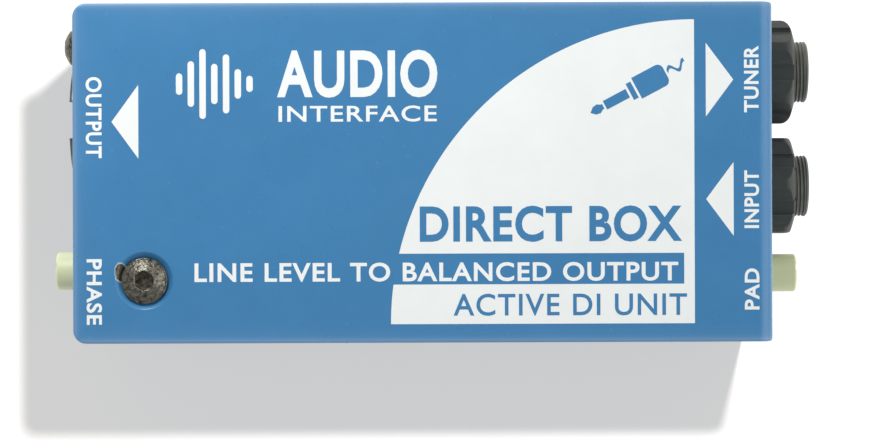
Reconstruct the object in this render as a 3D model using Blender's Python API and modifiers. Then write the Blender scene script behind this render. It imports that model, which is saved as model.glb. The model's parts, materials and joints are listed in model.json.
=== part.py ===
"""A compact direct injection box: a folded steel case with two quarter-inch jacks, a three-pin
male microphone connector and two push buttons, with the circuit board that they serve.

Frame: +X runs along the case towards the jacks, +Y across it, +Z up. The origin is the middle of
the underside of the floor pad, where the box stands. All sizes are in metres.
"""

import math

import bmesh
import bpy
from mathutils import Matrix, Vector

# Case
LENGTH = 0.10454               # cover, from its free edge to the outer face of its input plate
WIDTH = 0.0508                 # cover, across
HEIGHT = 0.0440                # underside of the pad to the cover's top
SHEET = 0.0019                 # steel sheet
FOLD = 0.0023                  # outer radius of a fold
CORNER = 0.0020                # corner radius of a cut sheet
PAINT_EDGE = 0.00035           # rounding of a painted cut edge
GAP = 0.0003                   # clearance between pieces that touch
SET_BACK = 0.00025             # the chassis stands this far inside the cover's edges
PAD_THICK = 0.0025

# Sockets and controls: place across the case, and their common height
AXIS_Z = 0.0232
TUNER_Y = 0.0158
INPUT_Y = -0.00196
PAD_Y = -0.0155
PHASE_Y = -0.01485
XLR_Y = 0.0084

# Quarter-inch jack
BUSH_R = 0.00475
BUSH_OUT = 0.0073              # how far the bush stands out of the cover
PLUG_BORE_R = 0.0033
THREAD_PITCH = 0.00079
THREAD_DEPTH = 0.00035
THREAD_CRESTS = 3
NUT_R = 0.00805                # across the rounded corners
NUT_FLATS = 0.0146
NUT_OUT = 0.0053
NUT_CHAMFER = 0.0018
NUT_BAND = 0.0024              # shallow flute along the middle of each flat
NUT_FLUTE = 0.00035
JACK_WIDTH = 0.0138
JACK_LENGTH = 0.0260
LEAF_WIDTH = 0.0032
LEAF_THICK = 0.0004

# Push switches
CAP_R = 0.00294
CAP_REACH = {"pad": 0.0100, "phase": 0.0089}     # tip of the cap beyond the switch's face
CAP_START = 0.0033             # back of the cap beyond the switch's face
SWITCH_WIDTH = 0.0090
SWITCH_LENGTH = 0.0140
SPRING_TURNS = 4

# Microphone connector
XLR_R = 0.0095
XLR_BORE_R = 0.00815
XLR_OUT = 0.00218
XLR_DEEP = 0.0179
XLR_FLANGE = (0.0025, 0.0260, 0.0310)
XLR_LATCH = 0.0055             # width of the latch slot in the rim
XLR_SCREW_OFFSET = 0.0109      # screws, across and up from the connector's axis
PIN_R = 0.0012
PIN_CIRCLE = 0.00404

# Cover screw and its dimple
SCREW_X = -0.04158
SCREW_Y = -0.0160
DIMPLE_R = 0.0043
DIMPLE_FLOOR_R = 0.0039
DIMPLE_DEEP = 0.0009

# Circuit board
BOARD_TOP = 0.0162
BOARD_THICK = 0.0016

# Derived levels and faces
STEEL_Z = PAD_THICK + GAP                       # underside of the steel
COVER_X = LENGTH / 2                            # outer face of the input plate
FREE_X = -LENGTH / 2                            # the cover's free edge
LID_UNDER = HEIGHT - SHEET
OUTPUT_X = FREE_X + SET_BACK                    # outer face of the chassis's output plate
INNER_X = COVER_X - SHEET - GAP                 # outer face of the chassis's input wall
CHASSIS_TOP = LID_UNDER - GAP
JACK_FACE_X = INNER_X - SHEET - GAP             # front of a jack's body and of the pad switch
PHASE_FACE_X = OUTPUT_X + SHEET + 0.0018        # front of the phase switch
ON_BOARD = BOARD_TOP + GAP

FACING = {"+X": (0, math.pi / 2, 0), "-X": (0, -math.pi / 2, 0), "+Z": (0, 0, 0)}

FINISHES = {
    "blue_enamel": ((0.080, 0.262, 0.479), 0.42, 0.0),
    "neoprene": ((0.020, 0.020, 0.021), 0.92, 0.0),
    "black_oxide": ((0.060, 0.056, 0.048), 0.40, 0.85),
    "zinc_plate": ((0.56, 0.57, 0.58), 0.34, 0.9),
    "black_plastic": ((0.038, 0.041, 0.040), 0.45, 0.0),
    "connector_black": ((0.060, 0.066, 0.064), 0.38, 0.6),
    "contact_silver": ((0.78, 0.77, 0.74), 0.22, 1.0),
    "ivory_plastic": ((0.640, 0.690, 0.420), 0.45, 0.0),
    "board_green": ((0.020, 0.140, 0.055), 0.50, 0.0),
    "cap_sleeve": ((0.030, 0.045, 0.110), 0.38, 0.0),
    "film_red": ((0.420, 0.045, 0.030), 0.40, 0.0),
    "chip_black": ((0.025, 0.025, 0.027), 0.55, 0.0),
    "resistor_blue": ((0.180, 0.380, 0.520), 0.45, 0.0),
    "wire_red": ((0.500, 0.020, 0.020), 0.45, 0.0),
    "wire_white": ((0.800, 0.800, 0.780), 0.45, 0.0),
    "wire_black": ((0.025, 0.025, 0.025), 0.45, 0.0),
}


# ---------------------------------------------------------------- scene and materials

def clear_scene():
    """Remove every object, mesh, curve and material of an earlier run."""
    for obj in list(bpy.data.objects):
        bpy.data.objects.remove(obj, do_unlink=True)
    for store in (bpy.data.meshes, bpy.data.curves, bpy.data.materials, bpy.data.collections):
        for item in list(store):
            store.remove(item)


def new_collection(name):
    """Make a collection in the scene."""
    made = bpy.data.collections.new(name)
    bpy.context.scene.collection.children.link(made)
    return made


def new_material(name):
    """Make the Principled material of one finish."""
    colour, roughness, metallic = FINISHES[name]
    made = bpy.data.materials.new(name)
    made.use_nodes = True
    shader = made.node_tree.nodes["Principled BSDF"]
    shader.inputs["Base Color"].default_value = (*colour, 1.0)
    shader.inputs["Roughness"].default_value = roughness
    shader.inputs["Metallic"].default_value = metallic
    made.diffuse_color = (*colour, 1.0)
    return made


clear_scene()
PARTS = new_collection("direct_injection_box")
CUTTERS = new_collection("cutters")
MATERIALS = {name: new_material(name) for name in FINISHES}


# ---------------------------------------------------------------- shapes

def add_object(name, data, finish, location=(0, 0, 0), facing="+Z"):
    """Place a mesh or a curve as a part, or as a cutter if it has no finish."""
    obj = bpy.data.objects.new(name, data)
    obj.location = location
    obj.rotation_euler = FACING[facing]
    if finish is None:
        CUTTERS.objects.link(obj)
        obj.hide_render = True
        obj.display_type = 'WIRE'
    else:
        PARTS.objects.link(obj)
        data.materials.append(MATERIALS[finish])
    return obj


def as_mesh(name, bm, smooth=False):
    """Turn a bmesh into a mesh with its faces pointing out."""
    bmesh.ops.recalc_face_normals(bm, faces=bm.faces)
    data = bpy.data.meshes.new(name)
    bm.to_mesh(data)
    bm.free()
    if smooth:
        data.shade_smooth()
        data.set_sharp_from_angle(angle=math.radians(35))
    return data


def block(name, low, high, finish=None, rounding=0.0, edges="all"):
    """A box between two corners; rounding bevels all its edges, or only the upright ones."""
    low, high = Vector(low), Vector(high)
    bm = bmesh.new()
    bmesh.ops.create_cube(bm, size=1.0, matrix=Matrix.Diagonal((*(high - low), 1.0)))
    if rounding:
        chosen = [e for e in bm.edges
                  if edges == "all" or abs(e.verts[0].co.z - e.verts[1].co.z) > 1e-6]
        bmesh.ops.bevel(bm, geom=chosen, offset=rounding, segments=3, profile=0.5,
                        affect='EDGES')
    return add_object(name, as_mesh(name, bm), finish, (low + high) / 2)


def blocks(name, corners):
    """One cutter or one added shape made of several boxes."""
    bm = bmesh.new()
    for low, high in corners:
        low, high = Vector(low), Vector(high)
        place = Matrix.Translation((low + high) / 2) @ Matrix.Diagonal((*(high - low), 1.0))
        bmesh.ops.create_cube(bm, size=1.0, matrix=place)
    return add_object(name, as_mesh(name, bm), None)


def rod(name, radius, start, length, facing, finish=None, sides=24):
    """A cylinder, or a prism with few sides, that starts at a point and runs along an axis."""
    bm = bmesh.new()
    bmesh.ops.create_cone(bm, cap_ends=True, segments=sides, radius1=radius, radius2=radius,
                          depth=length, matrix=Matrix.Translation((0, 0, length / 2)))
    return add_object(name, as_mesh(name, bm, smooth=sides > 8), finish, start, facing)


def turned(name, profile, finish, location, facing="+Z", steps=24, ring=False):
    """Turn a profile of (radius, height) points; its outer side runs from top to bottom."""
    points = [(radius, 0.0, height) for radius, height in profile]
    lines = [(i, i + 1) for i in range(len(points) - 1)]
    if ring:
        lines.append((len(points) - 1, 0))
    data = bpy.data.meshes.new(name)
    data.from_pydata(points, lines, [])
    obj = add_object(name, data, finish, location, facing)
    screw = obj.modifiers.new("turn", 'SCREW')
    screw.axis = 'Z'
    screw.angle = 2 * math.pi
    screw.steps = screw.render_steps = steps
    screw.use_merge_vertices = True
    screw.merge_threshold = 0.00001
    screw.use_smooth_shade = True
    return obj


def boolean(obj, tool, operation='DIFFERENCE'):
    """Cut, join or intersect a part with a cutter."""
    step = obj.modifiers.new(tool.name, 'BOOLEAN')
    step.operation = operation
    step.solver = 'EXACT'
    step.object = tool
    return obj


def drill(obj, radius, point, facing, length=0.006, sides=24):
    """Cut a round hole that starts behind a point and runs through the sheet in front of it."""
    start = Vector(point)
    if facing == "+X":
        start.x -= length / 2
    elif facing == "-X":
        start.x += length / 2
    else:
        start.z -= length / 2
    index = len(obj.modifiers)
    return boolean(obj, rod(f"{obj.name}_hole_{index}", radius, start, length, facing, sides=sides))


def tube(name, points, radius, finish, sides_level=2):
    """A wire along a list of points, as a bevelled curve with filled caps."""
    data = bpy.data.curves.new(name, 'CURVE')
    data.dimensions = '3D'
    data.bevel_depth = radius
    data.bevel_resolution = sides_level
    data.use_fill_caps = True
    data.render_resolution_u = 0
    spline = data.splines.new('POLY')
    spline.points.add(len(points) - 1)
    for target, point in zip(spline.points, points):
        target.co = (*point, 1.0)
    return add_object(name, data, finish)


def tube_as_mesh(name, points, radius, finish):
    """A wire as a closed mesh, so that it can be joined to another shape."""
    curve = tube(name + "_path", points, radius, finish, 1)
    seen = curve.evaluated_get(bpy.context.evaluated_depsgraph_get())
    data = bpy.data.meshes.new_from_object(seen)
    data.name = name
    bm = bmesh.new()
    bm.from_mesh(data)
    bmesh.ops.remove_doubles(bm, verts=bm.verts, dist=0.000001)
    bm.to_mesh(data)
    bm.free()
    data.materials.clear()
    obj = add_object(name, data, finish)
    obj.matrix_world = curve.matrix_world.copy()
    bpy.data.objects.remove(curve, do_unlink=True)
    return obj


def arc(centre, radius, start_deg, end_deg, count):
    """Points of an arc in a plane, from one angle to another."""
    angles = [math.radians(start_deg + (end_deg - start_deg) * i / (count - 1)) for i in range(count)]
    return [(centre[0] + radius * math.cos(a), centre[1] + radius * math.sin(a)) for a in angles]


# ---------------------------------------------------------------- case

def solidify(obj):
    """Give an open sheet its thickness, inwards."""
    step = obj.modifiers.new("sheet", 'SOLIDIFY')
    step.thickness = SHEET
    step.offset = -1.0
    step.use_even_offset = True


def round_paint(obj):
    """Round the cut edges of a painted sheet."""
    step = obj.modifiers.new("paint_edge", 'BEVEL')
    step.width = PAINT_EDGE
    step.segments = 2
    step.limit_method = 'ANGLE'
    step.angle_limit = math.radians(50)


def build_cover():
    """Top and input plate, folded from one sheet, with the dimple for its one screw."""
    bm = bmesh.new()
    bmesh.ops.create_grid(bm, x_segments=1, y_segments=1, size=0.5,
                          matrix=Matrix.Diagonal((LENGTH, WIDTH, 1.0, 1.0)))
    fold = [e for e in bm.edges if all(v.co.x > 0 for v in e.verts)]
    grown = bmesh.ops.extrude_edge_only(bm, edges=fold)["geom"]
    lower = [v for v in grown if isinstance(v, bmesh.types.BMVert)]
    bmesh.ops.translate(bm, verts=lower, vec=(0, 0, STEEL_Z - HEIGHT))
    bmesh.ops.bevel(bm, geom=fold, offset=FOLD, segments=6, profile=0.5, affect='EDGES')
    ends = [v for v in bm.verts if v.co.x < 0 or v.co.z < STEEL_Z - HEIGHT + 1e-6]
    bmesh.ops.bevel(bm, geom=ends, offset=CORNER, segments=5, profile=0.5, affect='VERTICES')
    data = as_mesh("cover", bm)
    if max(data.polygons, key=lambda face: face.area).normal.z < 0:
        data.flip_normals()
    cover = add_object("cover", data, "blue_enamel", (0, 0, HEIGHT))
    solidify(cover)
    round_paint(cover)
    for y in (TUNER_Y, INPUT_Y):
        drill(cover, BUSH_R + 0.0002, (COVER_X, y, AXIS_Z), "+X")
    drill(cover, CAP_R + 0.00035, (COVER_X, PAD_Y, AXIS_Z), "+X")
    dimple = [(0, 0.001), (DIMPLE_R + 0.0005, 0.001), (DIMPLE_R, 0), (DIMPLE_FLOOR_R, -DIMPLE_DEEP),
              (0, -DIMPLE_DEEP)]
    boolean(cover, turned("cover_dimple", dimple, None, (SCREW_X, SCREW_Y, HEIGHT), steps=36))
    drill(cover, 0.0023, (SCREW_X, SCREW_Y, HEIGHT), "+Z")


def build_chassis():
    """Tray of bottom, two long sides, output plate and input wall, with the tab for the cover."""
    low = Vector((OUTPUT_X, -WIDTH / 2 + SET_BACK, STEEL_Z))
    high = Vector((INNER_X, WIDTH / 2 - SET_BACK, CHASSIS_TOP))
    bm = bmesh.new()
    bmesh.ops.create_cube(bm, size=1.0, matrix=Matrix.Diagonal((*(high - low), 1.0)))
    lid = [f for f in bm.faces if f.normal.z > 0.9]
    rim = {e for f in lid for e in f.edges}
    bmesh.ops.delete(bm, geom=lid, context='FACES_ONLY')
    folds = [e for e in bm.edges if e not in rim]
    bmesh.ops.bevel(bm, geom=folds, offset=FOLD, segments=3, profile=0.5, affect='EDGES')
    data = bpy.data.meshes.new("base_chassis")
    bm.to_mesh(data)
    bm.free()
    chassis = add_object("base_chassis", data, "blue_enamel", (low + high) / 2)
    solidify(chassis)
    tab = block("chassis_tab", (OUTPUT_X + SHEET / 2, SCREW_Y - 0.005, CHASSIS_TOP - SHEET),
                (SCREW_X + 0.0065, SCREW_Y + 0.005, CHASSIS_TOP), None, 0.0015, "upright")
    boolean(chassis, tab, 'UNION')
    drill(chassis, 0.0023, (SCREW_X, SCREW_Y, CHASSIS_TOP), "+Z")
    drill(chassis, XLR_R + GAP, (OUTPUT_X, XLR_Y, AXIS_Z), "-X", sides=40)
    for sign in (1, -1):
        place = (OUTPUT_X, XLR_Y + sign * XLR_SCREW_OFFSET, AXIS_Z + sign * XLR_SCREW_OFFSET)
        drill(chassis, 0.0018, place, "-X", sides=20)
    drill(chassis, CAP_R + 0.00035, (OUTPUT_X, PHASE_Y, AXIS_Z), "-X")
    for y in (TUNER_Y, INPUT_Y):
        drill(chassis, BUSH_R + GAP, (INNER_X, y, AXIS_Z), "+X")
    drill(chassis, CAP_R + 0.00035, (INNER_X, PAD_Y, AXIS_Z), "+X")


def build_floor_pad():
    """Non-slip pad that covers the underside."""
    block("floor_pad", (FREE_X + 0.001, -WIDTH / 2 + 0.001, 0),
          (COVER_X - 0.001, WIDTH / 2 - 0.001, PAD_THICK), "neoprene", 0.0025, "upright")


def button_screw(name, location, facing, head_r, head_h, shank_r, length, key, sides=20):
    """Dome-headed screw with a hexagon socket; it is placed by the underside of its head."""
    dome = arc((0, head_h - head_r * 1.35), head_r * 1.35, 90, 46, 6)
    dome = [(r, z) for r, z in dome if r < head_r * 0.97]
    profile = [(0, head_h)] + dome[1:] + [(head_r, head_h * 0.28), (head_r * 0.97, 0), (shank_r, 0),
               (shank_r, -length + GAP), (shank_r - GAP, -length), (0, -length)]
    screw = turned(name, profile, "black_oxide", location, facing, sides)
    depth = head_h * 0.62
    axis = {"+X": Vector((1, 0, 0)), "-X": Vector((-1, 0, 0)), "+Z": Vector((0, 0, 1))}[facing]
    start = Vector(location) + axis * (head_h - depth)
    socket = rod(name + "_key", key / 2 / math.cos(math.pi / 6), start, depth + 0.001, facing, sides=6)
    return boolean(screw, socket)


def build_cover_fixing():
    """The cover's screw and the clinch nut under the chassis tab."""
    seat = HEIGHT - DIMPLE_DEEP + GAP
    button_screw("cover_screw", (SCREW_X, SCREW_Y, seat), "+Z", 0.00345, 0.0020, 0.0018, 0.0090,
                 0.0025, 32)
    top = CHASSIS_TOP - SHEET - GAP
    profile = [(0.0039, 0), (0.0040, -0.0004), (0.0040, -0.0022), (0.0021, -0.0022), (0.0021, 0)]
    turned("cover_clinch_nut", profile, "zinc_plate", (SCREW_X, SCREW_Y, top), steps=24, ring=True)


# ---------------------------------------------------------------- quarter-inch jacks

def build_jack(name, y, nut_turn):
    """Body, threaded bush, panel nut and tip spring of one jack; its nut is turned by an angle."""
    face = Vector((COVER_X, y, AXIS_Z))
    back = JACK_FACE_X - COVER_X                 # the body's front, from the cover's face

    # Threaded bush
    outer = [(BUSH_R - 0.0004, BUSH_OUT)]
    for turn in range(THREAD_CRESTS):
        crest = BUSH_OUT - 0.0003 - turn * THREAD_PITCH
        outer += [(BUSH_R, crest), (BUSH_R, crest - 0.00025),
                  (BUSH_R - THREAD_DEPTH, crest - 0.0004), (BUSH_R - THREAD_DEPTH, crest - 0.0006)]
    last = BUSH_OUT - 0.0003 - THREAD_CRESTS * THREAD_PITCH
    inside_end = back - 0.0027
    outer += [(BUSH_R, last), (BUSH_R, inside_end)]
    inner = [(PLUG_BORE_R, inside_end), (PLUG_BORE_R, BUSH_OUT - 0.0007),
             (PLUG_BORE_R + 0.0004, BUSH_OUT)]
    turned(f"{name}_jack_bush", outer + inner, "black_plastic", face, "+X", 28, ring=True)

    # Panel nut: a fluted hexagon with a domed front
    dome = arc((NUT_R - NUT_CHAMFER, NUT_OUT - NUT_CHAMFER), NUT_CHAMFER, 80, 0, 5)
    bore = BUSH_R + GAP
    profile = [(bore, NUT_OUT)] + dome + [(NUT_R, GAP), (bore, GAP)]
    nut = turned(f"{name}_jack_nut", profile, "black_plastic", face, "+X", 30, ring=True)
    hexagon = rod(f"{name}_nut_hexagon", NUT_FLATS / 2 / math.cos(math.pi / 6),
                  face - Vector((0.001, 0, 0)), NUT_OUT + 0.002, "+X", sides=6)
    hexagon.data.transform(Matrix.Rotation(math.radians(nut_turn), 4, 'Z'))
    boolean(nut, hexagon, 'INTERSECT')
    bm = bmesh.new()
    for side in range(6):
        turn = Matrix.Rotation(math.radians(nut_turn + 60 * side), 4, 'Z')
        place = turn @ Matrix.Translation((NUT_FLATS / 2 - NUT_FLUTE + 0.0005, 0, NUT_OUT / 2))
        size = Matrix.Diagonal((0.0010, NUT_BAND, NUT_OUT + 0.002, 1.0))
        bmesh.ops.create_cube(bm, size=1.0, matrix=place @ size)
    flutes = add_object(f"{name}_nut_flutes", as_mesh("flutes", bm), None, face, "+X")
    boolean(nut, flutes)

    # Body: a moulded block with the plug's bore, a seat for the bush and a chamber for the spring
    low = (JACK_FACE_X - JACK_LENGTH, y - JACK_WIDTH / 2, ON_BOARD)
    high = (JACK_FACE_X, y + JACK_WIDTH / 2, 2 * AXIS_Z - ON_BOARD)
    body = block(f"{name}_jack_body", low, high, "black_plastic", 0.0005)
    boolean(body, rod(f"{name}_bush_seat", BUSH_R + GAP, (JACK_FACE_X - 0.003, y, AXIS_Z), 0.004, "+X"))
    boolean(body, rod(f"{name}_plug_bore", PLUG_BORE_R + 0.0001,
                      (JACK_FACE_X - JACK_LENGTH + 0.002, y, AXIS_Z), JACK_LENGTH, "+X"))
    chamber = block(f"{name}_spring_chamber",
                    (JACK_FACE_X - 0.0232, y - LEAF_WIDTH / 2 - 0.0006, AXIS_Z + 0.0010),
                    (JACK_FACE_X - 0.0105, y + LEAF_WIDTH / 2 + 0.0006, AXIS_Z + 0.0100))
    boolean(body, chamber)

    # Tip spring: a bent leaf whose knee presses on the plug's tip; its origin is its root
    root = Vector((JACK_FACE_X - 0.0114, y, AXIS_Z + 0.0046))
    bends = [(0, 0), (-0.0030, -0.0004), (-0.0054, -0.0020), (-0.0066, -0.0030), (-0.0073, -0.0030),
             (-0.0084, -0.0021), (-0.0100, -0.0017)]
    bm = bmesh.new()
    line = [bm.verts.new((x, -LEAF_WIDTH / 2, z)) for x, z in bends]
    edges = [bm.edges.new(pair) for pair in zip(line, line[1:])]
    grown = bmesh.ops.extrude_edge_only(bm, edges=edges)["geom"]
    bmesh.ops.translate(bm, verts=[v for v in grown if isinstance(v, bmesh.types.BMVert)],
                        vec=(0, LEAF_WIDTH, 0))
    leaf = add_object(f"{name}_tip_spring", as_mesh(f"{name}_tip_spring", bm), "contact_silver", root)
    step = leaf.modifiers.new("sheet", 'SOLIDIFY')
    step.thickness = LEAF_THICK
    step.offset = 0.0
    step.use_even_offset = True


# ---------------------------------------------------------------- push switches

def build_switch(name, y, face_x, outward):
    """Switch body, plunger, cap and return spring; the moving ones have their origin on the axis."""
    def span(near, far, half_y, low_z, high_z):
        """Corners of a box between two distances in front of the switch's face."""
        ends = sorted((face_x + outward * near, face_x + outward * far))
        return (ends[0], y - half_y, low_z), (ends[1], y + half_y, high_z)

    body = block(f"{name}_switch_body",
                 *span(-SWITCH_LENGTH, 0, SWITCH_WIDTH / 2, ON_BOARD, AXIS_Z + 0.0045),
                 "black_plastic", 0.0004)
    channel = span(-SWITCH_LENGTH + 0.0015, -0.00125, 0.0025, AXIS_Z - 0.0025, AXIS_Z + 0.0025)
    mouth = span(-0.002, 0.001, 0.0018, AXIS_Z - 0.0018, AXIS_Z + 0.0018)
    boolean(body, block(f"{name}_channel", *channel))
    boolean(body, block(f"{name}_mouth", *mouth))

    # Plunger: a slider in the channel, with a post for the cap
    slider = span(-0.0075, -0.00155, 0.0021, AXIS_Z - 0.0021, AXIS_Z + 0.0021)
    plunger = block(f"{name}_plunger", *slider, "black_plastic")
    boolean(plunger, block(f"{name}_post", *span(-0.002, CAP_START + 0.0030, 0.0013,
                                                 AXIS_Z - 0.0013, AXIS_Z + 0.0013)), 'UNION')

    # Cap: a round button with softened edges and a square pocket for the post
    reach = CAP_REACH[name] - CAP_START
    soft = 0.0004
    profile = [(0, reach)] + arc((CAP_R - soft, reach - soft), soft, 90, 0, 4) + [(CAP_R, 0), (0, 0)]
    facing = "+X" if outward > 0 else "-X"
    start = (face_x + outward * CAP_START, y, AXIS_Z)
    cap = turned(f"{name}_button", profile, "ivory_plastic", start, facing, 28)
    boolean(cap, block(f"{name}_pocket", *span(CAP_START - 0.001, CAP_START + 0.0033, 0.0016,
                                               AXIS_Z - 0.0016, AXIS_Z + 0.0016)))

    # Return spring between the channel's end and the slider
    rear, front = -SWITCH_LENGTH + 0.0020, -0.0080
    count = SPRING_TURNS * 8
    coil = []
    for i in range(count + 1):
        angle = 2 * math.pi * SPRING_TURNS * i / count
        along = face_x + outward * (rear + (front - rear) * i / count)
        coil.append((along, y + 0.0015 * math.cos(angle), AXIS_Z + 0.0015 * math.sin(angle)))
    tube(f"{name}_return_spring", coil, 0.0002, "contact_silver")


# ---------------------------------------------------------------- microphone connector

def pin_places():
    """The three contacts, a third of a turn apart on one circle, one of them lowest."""
    return [(XLR_Y + PIN_CIRCLE * math.cos(math.radians(a)), AXIS_Z + PIN_CIRCLE * math.sin(math.radians(a)))
            for a in (150, 30, 270)]


def build_xlr():
    """Housing with its flange, insulating insert, three pins, their wires and two screws."""
    mouth = OUTPUT_X - XLR_OUT
    rear = OUTPUT_X + XLR_DEEP
    depth, across, tall = XLR_FLANGE
    flange_front = OUTPUT_X + SHEET + GAP
    soft = 0.0004
    profile = [(0, XLR_OUT)] + arc((XLR_R - soft, XLR_OUT - soft), soft, 90, 0, 4)
    profile += [(XLR_R, -XLR_DEEP), (0, -XLR_DEEP)]
    housing = turned("xlr_housing", profile, "connector_black", (OUTPUT_X, XLR_Y, AXIS_Z), "-X", 36)
    flange = block("xlr_flange", (flange_front, XLR_Y - across / 2, AXIS_Z - tall / 2),
                   (flange_front + depth, XLR_Y + across / 2, AXIS_Z + tall / 2), None, 0.0006)
    boolean(housing, flange, 'UNION')
    boolean(housing, rod("xlr_bore", XLR_BORE_R, (mouth - 0.001, XLR_Y, AXIS_Z),
                         XLR_OUT + XLR_DEEP + 0.002, "+X", sides=36))
    boolean(housing, block("xlr_latch_slot", (mouth - 0.001, XLR_Y - XLR_LATCH / 2, AXIS_Z + 0.006),
                           (OUTPUT_X - GAP, XLR_Y + XLR_LATCH / 2, AXIS_Z + 0.011)))
    for sign in (1, -1):
        offset = sign * XLR_SCREW_OFFSET
        drill(housing, 0.0017, (flange_front + depth / 2, XLR_Y + offset, AXIS_Z + offset), "+X",
              0.008, 20)

    insert = rod("xlr_insert", XLR_BORE_R - GAP, (rear - 0.0047, XLR_Y, AXIS_Z), 0.0044, "+X",
                 "black_plastic", 30)
    finishes = ("wire_white", "wire_red", "wire_black")
    for number, (y, z) in enumerate(pin_places(), start=1):
        drill(insert, PIN_R + GAP, (rear - 0.0025, y, z), "+X", 0.010, 16)
        tip = mouth + 0.0018
        length = rear + 0.0004 - tip
        nose = arc((0, length - PIN_R), PIN_R, 90, 0, 4)
        profile = nose + [(PIN_R, 0), (0, 0)]
        turned(f"xlr_pin_{number}", profile, "contact_silver", (tip + length, y, z), "-X", 16)
        start = Vector((rear + 0.0007, y, z))
        end = Vector((rear + 0.0062, XLR_Y + (y - XLR_Y) * 1.2, ON_BOARD))
        route = [start, start + Vector((0.0012, 0, 0))]
        for i in range(1, 9):
            angle = math.pi / 2 * i / 8
            run = end.x - route[1].x
            drop = route[1].z - end.z - 0.0006
            route.append(Vector((route[1].x + run * math.sin(angle),
                                 y + (end.y - y) * i / 8,
                                 route[1].z - drop * (1 - math.cos(angle)))))
        route.append(end)
        tube(f"xlr_wire_{number}", route, 0.0006, finishes[number - 1])
    for word, sign in (("upper", 1), ("lower", -1)):
        place = (OUTPUT_X - GAP, XLR_Y + sign * XLR_SCREW_OFFSET, AXIS_Z + sign * XLR_SCREW_OFFSET)
        button_screw(f"xlr_screw_{word}", place, "-X", 0.00285, 0.00245, 0.0014, 0.0065, 0.0020)


# ---------------------------------------------------------------- circuit board

def build_board():
    """The L-shaped board, its four hexagonal standoffs and their screws."""
    left, right, half = OUTPUT_X + 0.0034, JACK_FACE_X - 0.0013, 0.0225
    inner = OUTPUT_X + XLR_DEEP + 0.0035
    outline = [(left, -half), (right, -half), (right, half), (inner, half), (inner, -0.0075),
               (left, -0.0075)]
    curve = bpy.data.curves.new("circuit_board", 'CURVE')
    curve.dimensions = '2D'
    curve.fill_mode = 'BOTH'
    curve.extrude = BOARD_THICK / 2
    curve.render_resolution_u = 0
    spline = curve.splines.new('POLY')
    spline.points.add(len(outline) - 1)
    for target, (x, y) in zip(spline.points, outline):
        target.co = (x, y, 0, 1)
    spline.use_cyclic_u = True
    flat = add_object("board_outline", curve, None, (0, 0, BOARD_TOP - BOARD_THICK / 2))
    bpy.context.view_layer.update()
    seen = flat.evaluated_get(bpy.context.evaluated_depsgraph_get())
    data = bpy.data.meshes.new_from_object(seen)
    bm = bmesh.new()
    bm.from_mesh(data)
    bmesh.ops.remove_doubles(bm, verts=bm.verts, dist=0.000001)
    bm.to_mesh(data)
    bm.free()
    board = add_object("circuit_board", data, "board_green")
    board.matrix_world = flat.matrix_world.copy()
    bpy.data.objects.remove(flat, do_unlink=True)

    foot = STEEL_Z + SHEET + GAP
    under = BOARD_TOP - BOARD_THICK - GAP
    places = [(x, y) for x in (-0.0260, 0.0150) for y in (-0.0185, 0.0185)]
    for number, (x, y) in enumerate(places, start=1):
        drill(board, 0.0016, (x, y, BOARD_TOP), "+Z", 0.006, 16)
        standoff = rod(f"board_standoff_{number}", 0.0055 / 2 / math.cos(math.pi / 6), (x, y, foot),
                       under - foot, "+Z", "zinc_plate", 6)
        drill(standoff, 0.0016, (x, y, under), "+Z", 0.0130, 16)
        head = [(0, 0.0017), (0.0012, 0.0017), (0.0022, 0.0012), (0.0026, 0.0004), (0.0026, 0),
                (0.0012, 0), (0.0012, -0.0060), (0, -0.0060)]
        screw = turned(f"board_screw_{number}", head, "zinc_plate", (x, y, ON_BOARD), "+Z", 12)
        slot = 0.0003
        boolean(screw, blocks(f"board_screw_{number}_slot",
                              [((x - 0.0014, y - slot, ON_BOARD + 0.0010),
                                (x + 0.0014, y + slot, ON_BOARD + 0.0030))]))


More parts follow.
